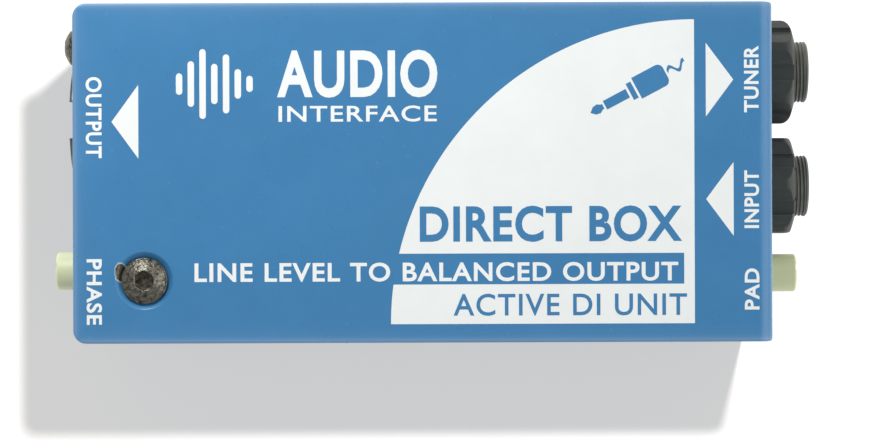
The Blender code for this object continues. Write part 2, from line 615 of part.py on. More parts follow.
def build_components():
    """Capacitors, transistors, the amplifier chip and the resistors."""
    for number, (x, y, radius, tall) in enumerate(((-0.0190, 0.0105, 0.0040, 0.0115),
                                                   (-0.0190, -0.0060, 0.0040, 0.0115),
                                                   (-0.0090, 0.0110, 0.00315, 0.0110)), start=1):
        neck = [(0, tall), (radius - 0.0006, tall), (radius, tall - 0.0006), (radius, 0.0016),
                (radius - 0.0004, 0.0012), (radius, 0.0008), (radius, 0), (0, 0)]
        turned(f"electrolytic_cap_{number}", neck, "cap_sleeve", (x, y, ON_BOARD), "+Z", 18)
    for number, x in enumerate((-0.0090, 0.0000), start=1):
        block(f"film_cap_{number}", (x - 0.0036, -0.0062, ON_BOARD), (x + 0.0036, -0.0017, ON_BOARD + 0.008),
              "film_red", 0.0005)
    for number, x in enumerate((-0.0010, 0.0060), start=1):
        y, lift = 0.0110, ON_BOARD + 0.0025
        body = rod(f"transistor_{number}", 0.0023, (x, y, lift), 0.0047, "+Z", "chip_black", 24)
        boolean(body, blocks(f"transistor_{number}_flat",
                             [((x - 0.004, y + 0.0013, lift - 0.001), (x + 0.004, y + 0.004, lift + 0.006))]))
        legs = [((x + dx - 0.00022, y - 0.00022, ON_BOARD), (x + dx + 0.00022, y + 0.00022, lift + 0.001))
                for dx in (-0.00127, 0, 0.00127)]
        boolean(body, blocks(f"transistor_{number}_legs", legs), 'UNION')

    x, y, lift = 0.0115, -0.0010, ON_BOARD + 0.0008
    chip = block("amplifier_chip", (x - 0.0048, y - 0.0032, lift), (x + 0.0048, y + 0.0032, lift + 0.0033),
                 "chip_black", 0.0003)
    legs = []
    for row in (-1, 1):
        for column in range(4):
            leg_x = x + (column - 1.5) * 0.00254
            ends = sorted((y + row * 0.0030, y + row * 0.0040))
            legs.append(((leg_x - 0.0004, ends[0], lift + 0.0012), (leg_x + 0.0004, ends[1], lift + 0.0015)))
            ends = sorted((y + row * 0.0037, y + row * 0.0040))
            legs.append(((leg_x - 0.0004, ends[0], ON_BOARD), (leg_x + 0.0004, ends[1], lift + 0.0013)))
    for index, corners in enumerate(legs):
        boolean(chip, blocks(f"chip_leg_{index}", [corners]), 'UNION')

    rows = [(-0.0150 + 0.0055 * i, -0.0135) for i in range(4)] + [(0.0125, 0.0115), (0.0160, 0.0080)]
    for number, (x, y) in enumerate(rows, start=1):
        reach, lift = 0.0044, 0.0015
        path = [(x, y - reach, ON_BOARD), (x, y - reach, ON_BOARD + lift - 0.0005),
                (x, y - reach + 0.0005, ON_BOARD + lift), (x, y + reach - 0.0005, ON_BOARD + lift),
                (x, y + reach, ON_BOARD + lift - 0.0005), (x, y + reach, ON_BOARD)]
        lead = tube_as_mesh(f"resistor_{number}", path, 0.0003, "resistor_blue")
        bead = [(0, 0.0031), (0.0009, 0.0031), (0.00115, 0.0026), (0.00115, 0.0019), (0.0009, 0.0015),
                (0.0009, -0.0015), (0.00115, -0.0019), (0.00115, -0.0026), (0.0009, -0.0031), (0, -0.0031)]
        body = turned(f"resistor_{number}_body", bead, None, (x, y, ON_BOARD + lift), "+Z", 10)
        body.rotation_euler = (math.pi / 2, 0, 0)
        boolean(lead, body, 'UNION')


build_cover()
build_chassis()
build_floor_pad()
build_cover_fixing()
build_jack("tuner", TUNER_Y, 0)
build_jack("input", INPUT_Y, 26)
build_switch("pad", PAD_Y, JACK_FACE_X, 1)
build_switch("phase", PHASE_Y, PHASE_FACE_X, -1)
build_xlr()
build_board()
build_components()
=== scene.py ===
"""Looks of a compact direct injection box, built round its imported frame.

Each sub-assembly is a class that holds its sizes, builds its pieces and dresses them; each finish is
a frozen dataclass that makes one material. Lengths are in metres, in the frame's own axes: +X runs
towards the jacks, +Y across the case and +Z up, with the floor at zero.
"""

import json
import logging
import math
from dataclasses import dataclass
from enum import Enum
from typing import Iterable, Optional, Sequence, Tuple

import bmesh
import bpy
from mathutils import Matrix, Vector

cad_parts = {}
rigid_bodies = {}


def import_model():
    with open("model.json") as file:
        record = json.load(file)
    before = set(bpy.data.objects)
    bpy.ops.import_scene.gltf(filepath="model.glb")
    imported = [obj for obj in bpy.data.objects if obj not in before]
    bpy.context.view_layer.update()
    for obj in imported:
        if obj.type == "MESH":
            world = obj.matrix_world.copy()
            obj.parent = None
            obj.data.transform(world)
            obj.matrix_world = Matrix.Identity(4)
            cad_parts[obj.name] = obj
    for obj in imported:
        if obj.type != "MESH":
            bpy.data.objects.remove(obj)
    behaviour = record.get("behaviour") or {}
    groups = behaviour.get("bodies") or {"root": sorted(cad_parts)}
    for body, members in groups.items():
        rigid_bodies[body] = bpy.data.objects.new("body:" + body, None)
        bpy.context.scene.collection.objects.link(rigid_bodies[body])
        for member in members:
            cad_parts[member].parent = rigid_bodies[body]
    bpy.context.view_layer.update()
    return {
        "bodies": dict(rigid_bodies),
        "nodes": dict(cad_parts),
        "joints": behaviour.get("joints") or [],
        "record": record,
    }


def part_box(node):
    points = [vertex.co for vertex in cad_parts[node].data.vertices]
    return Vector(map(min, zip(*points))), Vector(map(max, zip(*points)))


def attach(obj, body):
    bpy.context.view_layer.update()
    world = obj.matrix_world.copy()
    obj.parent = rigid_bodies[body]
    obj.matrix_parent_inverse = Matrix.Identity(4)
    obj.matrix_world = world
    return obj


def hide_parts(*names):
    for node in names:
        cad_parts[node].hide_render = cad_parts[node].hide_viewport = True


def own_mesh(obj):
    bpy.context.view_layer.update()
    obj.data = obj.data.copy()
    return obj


LOG = logging.getLogger("direct_box")
MM = 0.001
Colour = Tuple[float, float, float]
Point2 = Tuple[float, float]
Point3 = Tuple[float, float, float]
ENAMEL_BLUE: Colour = (0.048, 0.215, 0.444)
RUBBED_BLUE: Colour = (0.30, 0.52, 0.72)


class Facing(Enum):
    """The way that a turned piece's own Z axis points, as its turn about Y."""

    RIGHT = math.pi / 2
    LEFT = -math.pi / 2
    UP = 0.0

    def at(self, point: Sequence[float]) -> Matrix:
        """Matrix that carries a piece's own axes to a point, turned this way."""
        return Matrix.Translation(Vector(point)) @ Matrix.Rotation(self.value, 4, 'Y')


class Body(Enum):
    """The frame's bodies that the new pieces ride on."""

    CASE = "case"
    PAD_KEY = "pad_key"
    PHASE_KEY = "phase_key"


# ------------------------------------------------------------------------------------------------
# Shader effects
# ------------------------------------------------------------------------------------------------

class Wiring:
    """Adds nodes to one tree and links them."""

    def __init__(self, tree: bpy.types.NodeTree) -> None:
        """Keep the tree that the nodes go into.

        Args:
            tree: A material's tree or a node group.
        """
        self.tree = tree

    def node(self, kind: str, **inputs: object) -> bpy.types.Node:
        """Add a node and fill its inputs.

        Args:
            kind: The node's type name without the leading ShaderNode.
            **inputs: Values or sockets by input name, with spaces written as underscores.

        Returns:
            The new node.
        """
        made = self.tree.nodes.new("ShaderNode" + kind)
        for key, value in inputs.items():
            self.feed(made.inputs[key.replace("_", " ")], value)
        return made

    def feed(self, target: bpy.types.NodeSocket, value: object) -> None:
        """Link a socket to an input, or set the input's own value.

        Args:
            target: The input.
            value: A socket, or a value of the input's kind.
        """
        if isinstance(value, bpy.types.NodeSocket):
            self.tree.links.new(value, target)
        elif isinstance(value, tuple) and target.type == 'RGBA' and len(value) == 3:
            target.default_value = (*value, 1.0)
        else:
            target.default_value = value

    def maths(self, operation: str, *values: object) -> bpy.types.NodeSocket:
        """One Math node; returns its result.

        Args:
            operation: What it does.
            *values: Its inputs, in order.

        Returns:
            Its result.
        """
        made = self.node("Math")
        made.operation = operation
        for target, value in zip(made.inputs, values):
            self.feed(target, value)
        return made.outputs[0]

    def vector_maths(self, operation: str, *values: object, result: str = "Vector") -> bpy.types.NodeSocket:
        """One Vector Math node; returns the named result.

        Args:
            operation: What it does.
            *values: Its inputs, in order.
            result: The output's name.

        Returns:
            That output.
        """
        made = self.node("VectorMath")
        made.operation = operation
        for target, value in zip(made.inputs, values):
            self.feed(target, value)
        return made.outputs[result]

    def remap(self, value: bpy.types.NodeSocket, low: float, high: float,
              new_low: float = 0.0, new_high: float = 1.0) -> bpy.types.NodeSocket:
        """Clamped map of a value from one range to another.

        Args:
            value: The value.
            low: Where its range starts.
            high: Where its range ends.
            new_low: What the start becomes.
            new_high: What the end becomes.

        Returns:
            The mapped value.
        """
        made = self.node("MapRange", Value=value, From_Min=low, From_Max=high,
                         To_Min=new_low, To_Max=new_high)
        return made.outputs["Result"]

    def blend(self, factor: object, first: object, second: object) -> bpy.types.NodeSocket:
        """Mix of two colours by a factor.

        Args:
            factor: Share of the second colour.
            first: The first colour.
            second: The second colour.

        Returns:
            The mixed colour.
        """
        made = self.node("Mix")
        made.data_type = 'RGBA'
        self.feed(made.inputs[0], factor)
        self.feed(made.inputs[6], first)
        self.feed(made.inputs[7], second)
        return made.outputs[2]

    def noise(self, scale: object, detail: float = 3.0, roughness: float = 0.5,
              vector: Optional[bpy.types.NodeSocket] = None) -> bpy.types.NodeSocket:
        """Noise value over the piece's own coordinates, or over a given vector.

        Args:
            scale: Its scale.
            detail: Its octaves.
            roughness: How strong the fine ones are.
            vector: The place to read it at, if not the piece's own.

        Returns:
            The noise.
        """
        place = vector if vector is not None else self.place()
        made = self.node("TexNoise", Vector=place, Scale=scale, Detail=detail, Roughness=roughness)
        return made.outputs["Fac"]

    def place(self) -> bpy.types.NodeSocket:
        """The piece's own coordinates, in metres."""
        return self.node("TexCoord").outputs["Object"]

    def effect(self, effect: "Effect", **values: object) -> bpy.types.Node:
        """Place one of the shared effects with its own values.

        Args:
            effect: Which effect.
            **values: Its inputs by name.

        Returns:
            The group's node.
        """
        made = self.tree.nodes.new("ShaderNodeGroup")
        made.node_tree = effect.tree()
        for key, value in values.items():
            self.feed(made.inputs[key.replace("_", " ")], value)
        return made


def draw_mottle(wire: Wiring, entry: bpy.types.Node, leave: bpy.types.Node) -> None:
    """Slow and fast noise together, as a value between two bounds."""
    slow = wire.noise(entry.outputs["Scale"], 4.0, 0.55)
    quick = wire.noise(wire.maths('MULTIPLY', entry.outputs["Scale"], 5.3), 2.0, 0.5)
    both = wire.maths('ADD', wire.maths('MULTIPLY', slow, 0.7), wire.maths('MULTIPLY', quick, 0.3))
    spread = wire.remap(both, 0.36, 0.64)
    reach = wire.maths('SUBTRACT', entry.outputs["High"], entry.outputs["Low"])
    wire.feed(leave.inputs["Value"], wire.maths('MULTIPLY_ADD', spread, reach, entry.outputs["Low"]))


def draw_peel(wire: Wiring, entry: bpy.types.Node, leave: bpy.types.Node) -> None:
    """The slight orange peel of a baked or moulded surface, as a height."""
    broad = wire.noise(entry.outputs["Scale"], 1.5, 0.4)
    fine = wire.noise(wire.maths('MULTIPLY', entry.outputs["Scale"], 4.7), 2.0, 0.6)
    height = wire.maths('MULTIPLY_ADD', fine, entry.outputs["Fine"], broad)
    wire.feed(leave.inputs["Height"], height)


def draw_edge(wire: Wiring, entry: bpy.types.Node, leave: bpy.types.Node) -> None:
    """How near a convex edge the surface is, broken up by noise."""
    rounded = wire.node("Bevel", Radius=entry.outputs["Radius"])
    rounded.samples = 4
    flat = wire.node("NewGeometry").outputs["Normal"]
    likeness = wire.vector_maths('DOT_PRODUCT', rounded.outputs["Normal"], flat, result="Value")
    bent = wire.remap(likeness, 0.995, 0.86)
    broken = wire.remap(wire.noise(entry.outputs["Scale"], 5.0, 0.65), 0.35, 0.62, 0.25, 1.0)
    wire.feed(leave.inputs["Mask"], wire.maths('MULTIPLY', bent, broken))


def draw_specks(wire: Wiring, entry: bpy.types.Node, leave: bpy.types.Node) -> None:
    """Sparse small specks, such as dust and pores, as a mask."""
    cells = wire.node("TexVoronoi", Vector=wire.place(), Scale=entry.outputs["Scale"])
    near = wire.remap(cells.outputs["Distance"], entry.outputs["Size"], 0.0)
    dice = wire.node("TexWhiteNoise", Vector=cells.outputs["Position"]).outputs["Value"]
    chosen = wire.maths('GREATER_THAN', dice, entry.outputs["Rarity"])
    wire.feed(leave.inputs["Mask"], wire.maths('MULTIPLY', near, chosen))


def draw_scratches(wire: Wiring, entry: bpy.types.Node, leave: bpy.types.Node) -> None:
    """Fine lines along a stretched direction, as a mask."""
    stretch = wire.node("Mapping", Vector=wire.place(), Scale=entry.outputs["Stretch"])
    stretch.inputs["Rotation"].default_value = (0.3, 0.2, 0.55)
    line = wire.noise(entry.outputs["Scale"], 2.0, 0.5, stretch.outputs["Vector"])
    wire.feed(leave.inputs["Mask"], wire.remap(line, entry.outputs["Start"], 0.80))


class Effect(Enum):
    """Effects that more than one material uses: name, inputs with defaults, output and drawing."""

    MOTTLE = ("mottle", (("Scale", 40.0), ("Low", 0.0), ("High", 1.0)), "Value", draw_mottle)
    PEEL = ("peel", (("Scale", 900.0), ("Fine", 0.25)), "Height", draw_peel)
    EDGE = ("edge_nearness", (("Radius", 0.0006), ("Scale", 900.0)), "Mask", draw_edge)
    SPECKS = ("specks", (("Scale", 700.0), ("Size", 0.2), ("Rarity", 0.9)), "Mask", draw_specks)
    SCRATCHES = ("scratches", (("Scale", 60.0), ("Stretch", (1.0, 14.0, 14.0)), ("Start", 0.66)),
                 "Mask", draw_scratches)

    def tree(self) -> bpy.types.NodeTree:
        """The effect's node group, built the first time that it is asked for."""
        name, inputs, output, draw = self.value
        found = bpy.data.node_groups.get(name)
        if found is not None:
            return found
        tree = bpy.data.node_groups.new(name, 'ShaderNodeTree')
        for label, default in inputs:
            kind = 'NodeSocketVector' if isinstance(default, tuple) else 'NodeSocketFloat'
            made = tree.interface.new_socket(label, in_out='INPUT', socket_type=kind)
            made.default_value = default
        tree.interface.new_socket(output, in_out='OUTPUT', socket_type='NodeSocketFloat')
        draw(Wiring(tree), tree.nodes.new("NodeGroupInput"), tree.nodes.new("NodeGroupOutput"))
        return tree


# ------------------------------------------------------------------------------------------------
# Finishes
# ------------------------------------------------------------------------------------------------

@dataclass(frozen=True)
class Finish:
    """What every finish has: a name, a colour, a roughness and a surface that isn't quite even."""

    name: str
    colour: Colour
    roughness: float = 0.45
    metallic: float = 0.0
    shift: float = 0.10
    peel_scale: float = 1400.0
    peel_height: float = 0.012 * MM
    edge: float = 0.25
    edge_colour: Colour = (0.6, 0.6, 0.6)

    def material(self) -> bpy.types.Material:
        """Return the finish's material, made the first time that it is asked for."""
        found = bpy.data.materials.get(self.name)
        if found is not None:
            return found
        made = bpy.data.materials.new(self.name)
        made.use_nodes = True
        wire = Wiring(made.node_tree)
        shader = made.node_tree.nodes["Principled BSDF"]
        shader.inputs["Metallic"].default_value = self.metallic
        self.paint(wire, shader)
        return made

    def paint(self, wire: Wiring, shader: bpy.types.Node) -> None:
        """Wire the shader: colour with worn edges, uneven roughness and a fine relief.

        Args:
            wire: The material's nodes.
            shader: Its Principled BSDF.
        """
        wire.feed(shader.inputs["Base Color"], self.worn(wire, self.ground(wire)))
        wire.feed(shader.inputs["Roughness"], self.uneven(wire))
        wire.feed(shader.inputs["Normal"], self.relief(wire))

    def ground(self, wire: Wiring) -> bpy.types.NodeSocket:
        """The colour, a little lighter and darker from place to place."""
        deep = tuple(c * (1.0 - self.shift) for c in self.colour)
        light = tuple(min(1.0, c * (1.0 + self.shift)) for c in self.colour)
        cloud = wire.effect(Effect.MOTTLE, Scale=70.0).outputs[0]
        return wire.blend(cloud, deep, light)

    def worn(self, wire: Wiring, base: bpy.types.NodeSocket) -> bpy.types.NodeSocket:
        """The ground colour, paler where an edge has been rubbed."""
        mask = wire.effect(Effect.EDGE, Radius=0.35 * MM).outputs[0]
        return wire.blend(wire.maths('MULTIPLY', mask, self.edge), base, self.edge_colour)

    def uneven(self, wire: Wiring) -> bpy.types.NodeSocket:
        """Roughness that handling has made uneven."""
        low, high = self.roughness - 0.05, self.roughness + 0.07
        return wire.effect(Effect.MOTTLE, Scale=110.0, Low=low, High=high).outputs[0]

    def relief(self, wire: Wiring) -> bpy.types.NodeSocket:
        """Bump from the surface's peel."""
        height = wire.effect(Effect.PEEL, Scale=self.peel_scale).outputs[0]
        return wire.node("Bump", Height=height, Strength=1.0,
                         Distance=self.peel_height).outputs["Normal"]


@dataclass(frozen=True)
class Enamel(Finish):
    """Baked enamel on steel, with specks in the coat, a painted highlight along the sheet's edges where
    sides are given, and, where one is given, a bare chip ringed by a painted highlight.
    """

    speck_colour: Colour = (0.16, 0.36, 0.58)
    bare_colour: Colour = (0.30, 0.28, 0.20)
    # Painted highlight: colour and size of a pale ring round the bare chip, standing for light caught by
    # the chipped paint's edge.
    chip_highlight_colour: Colour = (0.62, 0.72, 0.74)
    chip: Optional[Point3] = None
    chip_reach: Point2 = (0.75 * MM, 1.30 * MM)
    chip_highlight_size: float = 1.16
    sides: Optional[Point2] = None
    # The swell fields set a painted highlight: a pale band along the sheet's edges, standing in for light
    # caught by the rounded edges.
    swell: float = 0.9 * MM
    edge_highlight_start: float = 0.50 * MM
    edge_highlight_fall: float = 1.7
    edge_highlight_share: float = 0.034
    edge_highlight_colour: Colour = (0.95, 1.0, 1.0)

    def paint(self, wire: Wiring, shader: bpy.types.Node) -> None:
        """Wire the enamel, then lay the bare metal of the chip over it."""
        base = self.worn(wire, self.ground(wire))
        specks = wire.effect(Effect.SPECKS, Scale=900.0, Size=0.22, Rarity=0.93).outputs[0]
        base = wire.blend(wire.maths('MULTIPLY', specks, 0.35), base, self.speck_colour)
        # Painted highlight: lighten the enamel along the sheet's edges.
        if self.sides is not None:
            base = wire.blend(self.painted_edge_highlight(wire), base, self.edge_highlight_colour)
        rough = self.uneven(wire)
        lines = wire.effect(Effect.SCRATCHES, Scale=55.0, Start=0.70).outputs[0]
        rough = wire.maths('MULTIPLY_ADD', lines, 0.08, rough)
        if self.chip is not None:
            mask = self.bare(wire, 1.0)
            grain = wire.noise(4200.0, 3.0, 0.7)
            # Painted highlight: a pale ring just outside the chip's bare metal.
            rim = wire.maths('SUBTRACT', self.bare(wire, self.chip_highlight_size), mask)
            base = wire.blend(wire.maths('MULTIPLY', rim, 0.8), base, self.chip_highlight_colour)
            metal = wire.blend(wire.remap(grain, 0.35, 0.65), (0.05, 0.048, 0.04), self.bare_colour)
            base = wire.blend(mask, base, metal)
            wire.feed(shader.inputs["Metallic"], wire.maths('MULTIPLY', mask, 0.8))
        wire.feed(shader.inputs["Base Color"], base)
        wire.feed(shader.inputs["Roughness"], rough)
        wire.feed(shader.inputs["Normal"], self.relief(wire))

    def painted_edge_highlight(self, wire: Wiring) -> bpy.types.NodeSocket:
        """Painted highlight: paleness of the enamel along the sheet's left, upper and lower edges, standing
        in for light caught by their rounded edges.
        """
        parts = wire.node("SeparateXYZ", Vector=wire.place())
        left, half = self.sides
        from_left = wire.maths('SUBTRACT', parts.outputs["X"], left)
        from_side = wire.maths('SUBTRACT', half, wire.maths('ABSOLUTE', parts.outputs["Y"]))
        nearest = wire.maths('MINIMUM', from_left, from_side)
        inward = wire.maths('MAXIMUM', nearest, self.edge_highlight_start)
        fall = wire.maths('POWER', wire.maths('DIVIDE', self.swell, inward), self.edge_highlight_fall)
        return wire.maths('MULTIPLY', fall, self.edge_highlight_share)

    def bare(self, wire: Wiring, size: float) -> bpy.types.NodeSocket:
        """Mask of the chip at a size: an oval with a ragged rim.

        Args:
            wire: The material's nodes.
            size: Its size against the chip's own.

        Returns:
            The mask.
        """
        offset = wire.vector_maths('SUBTRACT', wire.place(), self.chip)
        across, along = self.chip_reach
        scaled = wire.vector_maths('MULTIPLY', offset, (1 / across, 1 / along, 0.0))
        reach = wire.vector_maths('LENGTH', scaled, result="Value")
        ragged = wire.maths('MULTIPLY_ADD', wire.noise(1800.0, 2.0, 0.6), 0.5, -0.25)
        return wire.remap(wire.maths('ADD', reach, ragged), size + 0.06, size - 0.06)


@dataclass(frozen=True)
class ScreenInk(Finish):
    """Screen-printed ink: opaque, faintly mottled, with pinholes."""

    pinhole_colour: Colour = (0.45, 0.60, 0.72)

    def ground(self, wire: Wiring) -> bpy.types.NodeSocket:
        """The ink with a few pinholes in it."""
        ink = super().ground(wire)
        holes = wire.effect(Effect.SPECKS, Scale=1100.0, Size=0.16, Rarity=0.97).outputs[0]
        return wire.blend(wire.maths('MULTIPLY', holes, 0.6), ink, self.pinhole_colour)


@dataclass(frozen=True)
class Moulding(Finish):
    """Moulded plastic with a fine spark-eroded grain and pale handling marks."""

    grain: float = 0.006 * MM
    mark_colour: Colour = (0.20, 0.21, 0.20)
    marks: float = 0.35

    def ground(self, wire: Wiring) -> bpy.types.NodeSocket:
        """The plastic's colour with pale marks along a few lines."""
        lines = wire.effect(Effect.SCRATCHES, Scale=140.0, Start=0.64).outputs[0]
        return wire.blend(wire.maths('MULTIPLY', lines, self.marks), super().ground(wire),
                          self.mark_colour)

    def relief(self, wire: Wiring) -> bpy.types.NodeSocket:
        """Fine grain over the broader waviness of the moulding."""
        grain = wire.noise(6500.0, 2.0, 0.6)
        fine = wire.node("Bump", Height=grain, Strength=1.0, Distance=self.grain)
        height = wire.effect(Effect.PEEL, Scale=self.peel_scale).outputs[0]
        return wire.node("Bump", Height=height, Strength=1.0, Distance=self.peel_height,
                         Normal=fine.outputs["Normal"]).outputs["Normal"]


@dataclass(frozen=True)
class Metal(Finish):
    """Plated or blackened metal, mottled, with turning lines and bright edges."""

    dark: Colour = (0.05, 0.05, 0.05)
    mottle_scale: float = 600.0
    lines: Point3 = (1.0, 14.0, 14.0)

    def ground(self, wire: Wiring) -> bpy.types.NodeSocket:
        """Two tones of the plating, clouded together and crossed by fine lines."""
        cloud = wire.effect(Effect.MOTTLE, Scale=self.mottle_scale).outputs[0]
        base = wire.blend(cloud, self.dark, self.colour)
        lines = wire.effect(Effect.SCRATCHES, Scale=420.0, Stretch=self.lines, Start=0.58).outputs[0]
        return wire.blend(wire.maths('MULTIPLY', lines, 0.4), base, self.edge_colour)


@dataclass(frozen=True)
class Board(Finish):
    """Solder resist over copper tracks, with a row of pads."""

    copper: Colour = (0.035, 0.24, 0.10)
    pitch: float = 2.54 * MM

    def ground(self, wire: Wiring) -> bpy.types.NodeSocket:
        """Tracks that run across the board, seen as paler lines under the resist."""
        parts = wire.node("SeparateXYZ", Vector=wire.place())
        steps = wire.maths('DIVIDE', parts.outputs["Y"], self.pitch)
        stripe = wire.maths('PINGPONG', steps, 0.5)
        tracks = wire.remap(stripe, 0.13, 0.10)
        islands = wire.remap(wire.noise(75.0, 1.0, 0.5), 0.47, 0.49)
        return wire.blend(wire.maths('MULTIPLY', tracks, islands), super().ground(wire), self.copper)


@dataclass(frozen=True)
class Foam(Finish):
    """Closed-cell rubber: dull, pitted all over."""

    def relief(self, wire: Wiring) -> bpy.types.NodeSocket:
        """Pits of the cells."""
        cells = wire.node("TexVoronoi", Vector=wire.place(), Scale=1900.0).outputs["Distance"]
        return wire.node("Bump", Height=cells, Strength=1.0, Distance=0.06 * MM).outputs["Normal"]


@dataclass(frozen=True)
class Palette:
    """All the finishes of the box."""

    enamel: Enamel
    plain_enamel: Enamel = Enamel("chassis_enamel", ENAMEL_BLUE, 0.31, shift=0.03, edge=0.20,
                                  edge_colour=RUBBED_BLUE)
    ink: ScreenInk = ScreenInk("white_ink", (0.88, 0.915, 0.905), 0.50, shift=0.02, edge=0.0,
                               peel_height=0.006 * MM)
    blue_ink: ScreenInk = ScreenInk("blue_ink", ENAMEL_BLUE, 0.36, shift=0.03, edge=0.0,
                                    peel_height=0.006 * MM, pinhole_colour=(0.2, 0.4, 0.6))
    nylon: Moulding = Moulding("black_nylon", (0.046, 0.051, 0.044), 0.50, shift=0.18, edge=0.45,
                               edge_colour=(0.19, 0.20, 0.18))
    worn_nylon: Moulding = Moulding("worn_nylon", (0.084, 0.090, 0.072), 0.46, shift=0.22, edge=0.45,
                                    edge_colour=(0.26, 0.27, 0.23))
    ivory: Moulding = Moulding("ivory_button", (0.84, 0.86, 0.53), 0.42, shift=0.04, edge=0.30,
                               edge_colour=(0.88, 0.90, 0.64), grain=0.002 * MM,
                               mark_colour=(0.72, 0.74, 0.44), marks=0.25)
    green_ivory: Moulding = Moulding("aged_ivory_button", (0.80, 0.80, 0.44), 0.42, shift=0.04,
                                     edge=0.30, edge_colour=(0.86, 0.86, 0.54), grain=0.002 * MM,
                                     mark_colour=(0.68, 0.68, 0.38), marks=0.25)
    oxide: Metal = Metal("black_oxide_steel", (0.245, 0.23, 0.185), 0.33, 0.85, edge=0.12,
                         peel_scale=2600.0, peel_height=0.085 * MM,
                         dark=(0.020, 0.021, 0.018), edge_colour=(0.46, 0.44, 0.38),
                         mottle_scale=1900.0)
    casting: Metal = Metal("black_zinc_casting", (0.13, 0.14, 0.135), 0.36, 0.7, edge=0.4,
                           dark=(0.06, 0.065, 0.063), edge_colour=(0.40, 0.42, 0.40))
    zinc: Metal = Metal("zinc_plated_steel", (0.66, 0.67, 0.68), 0.30, 0.95, edge=0.3,
                        dark=(0.45, 0.46, 0.48), edge_colour=(0.85, 0.85, 0.85))
    silver: Metal = Metal("silver_plated_contact", (0.82, 0.80, 0.76), 0.22, 1.0, edge=0.3,
                          dark=(0.58, 0.55, 0.50), edge_colour=(0.92, 0.91, 0.88),
                          lines=(20.0, 2.0, 2.0))
    foam: Foam = Foam("neoprene_foam", (0.022, 0.022, 0.023), 0.88, shift=0.25, edge=0.3,
                      edge_colour=(0.07, 0.07, 0.07))
    board: Board = Board("board_resist", (0.018, 0.125, 0.050), 0.35, shift=0.08, edge=0.5,
                         edge_colour=(0.42, 0.40, 0.22))
    sleeve: Moulding = Moulding("capacitor_sleeve", (0.028, 0.045, 0.120), 0.32, edge=0.2)
    film: Moulding = Moulding("capacitor_case", (0.430, 0.045, 0.030), 0.34, edge=0.2,
                              mark_colour=(0.5, 0.15, 0.1))
    epoxy: Moulding = Moulding("epoxy_case", (0.026, 0.026, 0.028), 0.55, edge=0.3,
                               edge_colour=(0.10, 0.10, 0.10))
    lacquer: Moulding = Moulding("resistor_lacquer", (0.170, 0.370, 0.520), 0.35, edge=0.2)
    red_wire: Moulding = Moulding("red_insulation", (0.500, 0.022, 0.020), 0.38, edge=0.1)
    white_wire: Moulding = Moulding("white_insulation", (0.78, 0.78, 0.75), 0.38, edge=0.1,
                                    mark_colour=(0.6, 0.6, 0.58))
    black_wire: Moulding = Moulding("black_insulation", (0.025, 0.025, 0.026), 0.38, edge=0.1)


# ------------------------------------------------------------------------------------------------
# Mesh work
# ------------------------------------------------------------------------------------------------

def arc(centre: Point2, radius: float, start: float, end: float, count: int) -> list:
    """Points of an arc.

    Args:
        centre: The arc's centre.
        radius: Its radius.
        start: First angle, in degrees.
        end: Last angle, in degrees.
        count: How many points.

    Returns:
        A list of points.
    """
    turns = [math.radians(start + (end - start) * i / (count - 1)) for i in range(count)]
    return [(centre[0] + radius * math.cos(a), centre[1] + radius * math.sin(a)) for a in turns]


